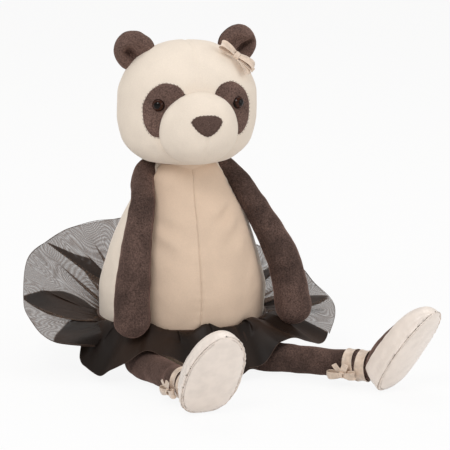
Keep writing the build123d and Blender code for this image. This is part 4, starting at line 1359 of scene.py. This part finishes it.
class PANDA_OT_stitches(bpy.types.Operator):
    """Sews the visible stitches round the face patches, the nose, the shoes and down the belly"""
    bl_idname, bl_label = "panda.stitches", "Stitches"

    def execute(self, context):
        settings = context.scene.panda
        lines = [round_patch(PATCH, 120, lambda x, z, side=side: on_head(side * x, z), 0.55)
                 for side, _ in SIDES]
        lines.append(round_patch(NOSE, 90, on_muzzle, 0.3))
        dress(sew("face_stitches", lines, "dark_thread", settings, thread_mm=0.2), "head")
        seam = torso_points(np.zeros(90), np.linspace(30, 112, 90))
        seam[:, 1] += 1.25 * settings.seam / MM         # they lie at the bottom of the seam
        dress(sew("belly_stitches", [seam], "cream_thread", settings, thread_mm=0.14), "torso")
        rows = foot_rows(110)
        for side, name in SIDES:
            edges = [placed(foot_surface(rows, np.full(110, around)) + np.array([0, 0, 0.1]),
                            *foot_frame(side, name)) for around in (91.5, 268.5)]
            dress(sew("sole_stitches_" + name, edges, "pale_thread", settings, thread_mm=0.36),
                  "foot_" + name)
        return {"FINISHED"}


# ---------------------------------------------------------------- what is inside

# how a node's name starts, and the finish that it takes
INSIDE = (("bean_pouch", "pouch"), ("bean_pellets", "pellets"), ("eye_washer", "washer"),
          ("neck_gusset", "beige"), ("shoulder_knot", "dark"), ("tutu_waistband", "hem"))


class PANDA_OT_inside(bpy.types.Operator):
    """Gives the stuffing, the bean pouch and the other inner pieces their finishes"""
    bl_idname, bl_label = "panda.inside", "Inner pieces"

    def execute(self, context):
        for node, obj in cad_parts.items():
            key = next((finish for start, finish in INSIDE if node.startswith(start)),
                       "fill" if "stuffing" in node else None)
            if key:
                for slot in obj.material_slots or ():
                    slot.material = FINISHES[key]
                if not obj.material_slots:
                    obj.data.materials.append(FINISHES[key])
        return {"FINISHED"}


# ---------------------------------------------------------------- stage

FLOOR_REACH = 4000                  # from the middle to each edge, mm
FLOOR_GLOW = 0.9                    # share of plain white that the camera sees of the floor
# name, place, diameter in metres and power of each lamp
LAMPS = (("key_softbox", (-0.75, -1.15, 1.25), 0.7, 10.5), ("fill_softbox", (1.3, -1.0, 0.6), 1.2, 5.5),
         ("top_softbox", (0.1, 0.5, 1.5), 1.0, 5.0))
LAMP_AIM = Vector((0, -0.02, 0.09))
CAMERA_AZIMUTH, CAMERA_ELEVATION, CAMERA_DISTANCE = radians(-15), radians(10.5), 1.5
HALF_FRAME = 0.13725                # half the width that the camera sees at the toy, metres
CAMERA_RIGHT, CAMERA_UP = 0.02745, 0.08174   # how far aside and up it stands, metres


class PANDA_OT_stage(bpy.types.Operator):
    """Sets the pale floor, the soft studio lamps and the camera"""
    bl_idname, bl_label = "panda.stage", "Stage"

    def execute(self, context):
        self.lay_floor()
        self.light(context.scene)
        self.place_camera(context.scene)
        context.scene.view_settings.view_transform = "Standard"
        return {"FINISHED"}

    def lay_floor(self):
        corners = np.array([(-1, -1, 0), (1, -1, 0), (1, 1, 0), (-1, 1, 0)]) * FLOOR_REACH
        floor = make_mesh("floor", corners, [(0, 1, 2, 3)], None)
        pale = bpy.data.materials.new("matt_white_paper")
        pale.use_nodes = True
        tree = pale.node_tree
        paper = tree.nodes["Principled BSDF"]
        paper.inputs["Base Color"].default_value = (0.86, 0.855, 0.85, 1)
        paper.inputs["Roughness"].default_value = 1.0
        paper.inputs["Specular IOR Level"].default_value = 0.0
        rays = add(tree, "ShaderNodeLightPath").outputs
        seen = add(tree, "ShaderNodeMath", {"operation": "MAXIMUM"}, _0=rays["Is Camera Ray"],
                   _1=rays["Is Glossy Ray"])
        seen = add(tree, "ShaderNodeMath", {"operation": "MAXIMUM"}, _0=seen,
                   _1=rays["Is Transmission Ray"])
        part = add(tree, "ShaderNodeMath", {"operation": "MULTIPLY", 1: FLOOR_GLOW}, _0=seen)
        white = add(tree, "ShaderNodeEmission", {"Color": (1, 1, 1, 1), "Strength": 1.0})
        both = add(tree, "ShaderNodeMixShader", {}, _0=part, _1=paper, _2=white)
        tree.links.new(both.outputs[0], tree.nodes["Material Output"].inputs["Surface"])
        floor.data.materials[0] = pale

    def light(self, scene):
        world = bpy.data.worlds.new("studio")
        scene.world = world
        world.use_nodes = True
        background = world.node_tree.nodes["Background"].inputs
        background["Color"].default_value = (1.0, 0.985, 0.965, 1)
        background["Strength"].default_value = 0.55
        for name, place, size, power in LAMPS:
            lamp = bpy.data.lights.new(name, "AREA")
            lamp.shape, lamp.size, lamp.energy = "DISK", size, power
            holder = bpy.data.objects.new(name, lamp)
            holder.location = place
            holder.rotation_euler = (LAMP_AIM - Vector(place)).to_track_quat("-Z", "Y").to_euler()
            scene.collection.objects.link(holder)

    def place_camera(self, scene):
        azimuth, elevation = CAMERA_AZIMUTH, CAMERA_ELEVATION
        back = Vector((sin(azimuth) * cos(elevation), -cos(azimuth) * cos(elevation), sin(elevation)))
        right = Vector((cos(azimuth), sin(azimuth), 0))
        lens = bpy.data.cameras.new("camera")
        lens.sensor_fit, lens.angle = "HORIZONTAL", 2 * atan(HALF_FRAME / CAMERA_DISTANCE)
        camera = bpy.data.objects.new("camera", lens)
        camera.location = back * CAMERA_DISTANCE + right * CAMERA_RIGHT + back.cross(right) * CAMERA_UP
        camera.rotation_euler = back.to_track_quat("Z", "Y").to_euler()
        scene.collection.objects.link(camera)
        scene.camera = camera


# ---------------------------------------------------------------- add-on

STEPS = (PANDA_OT_stage, PANDA_OT_torso, PANDA_OT_head, PANDA_OT_face, PANDA_OT_ears,
         PANDA_OT_ear_bow, PANDA_OT_arms, PANDA_OT_legs, PANDA_OT_shoes, PANDA_OT_ankle_ribbons,
         PANDA_OT_skirt, PANDA_OT_stitches, PANDA_OT_inside)


class PANDA_PT_sidebar(bpy.types.Panel):
    """Lists the toy's settings and the steps that dress it"""
    bl_idname, bl_label = "PANDA_PT_sidebar", "Plush panda"
    bl_space_type, bl_region_type, bl_category = "VIEW_3D", "UI", "Panda"

    def draw(self, context):
        for key in PandaSettings.__annotations__:
            self.layout.prop(context.scene.panda, key)
        for step in STEPS:
            self.layout.operator(step.bl_idname)


def register():
    for part in (PandaSettings, *STEPS, PANDA_PT_sidebar):
        bpy.utils.register_class(part)
    bpy.types.Scene.panda = PointerProperty(type=PandaSettings)


def unregister():
    del bpy.types.Scene.panda
    for part in (PANDA_PT_sidebar, *reversed(STEPS), PandaSettings):
        bpy.utils.unregister_class(part)


def main():
    register()
    make_finishes(bpy.context.scene.panda)
    for step in STEPS:
        area, name = step.bl_idname.split(".")
        getattr(getattr(bpy.ops, area), name)()


if __name__ == "__main__":
    main()
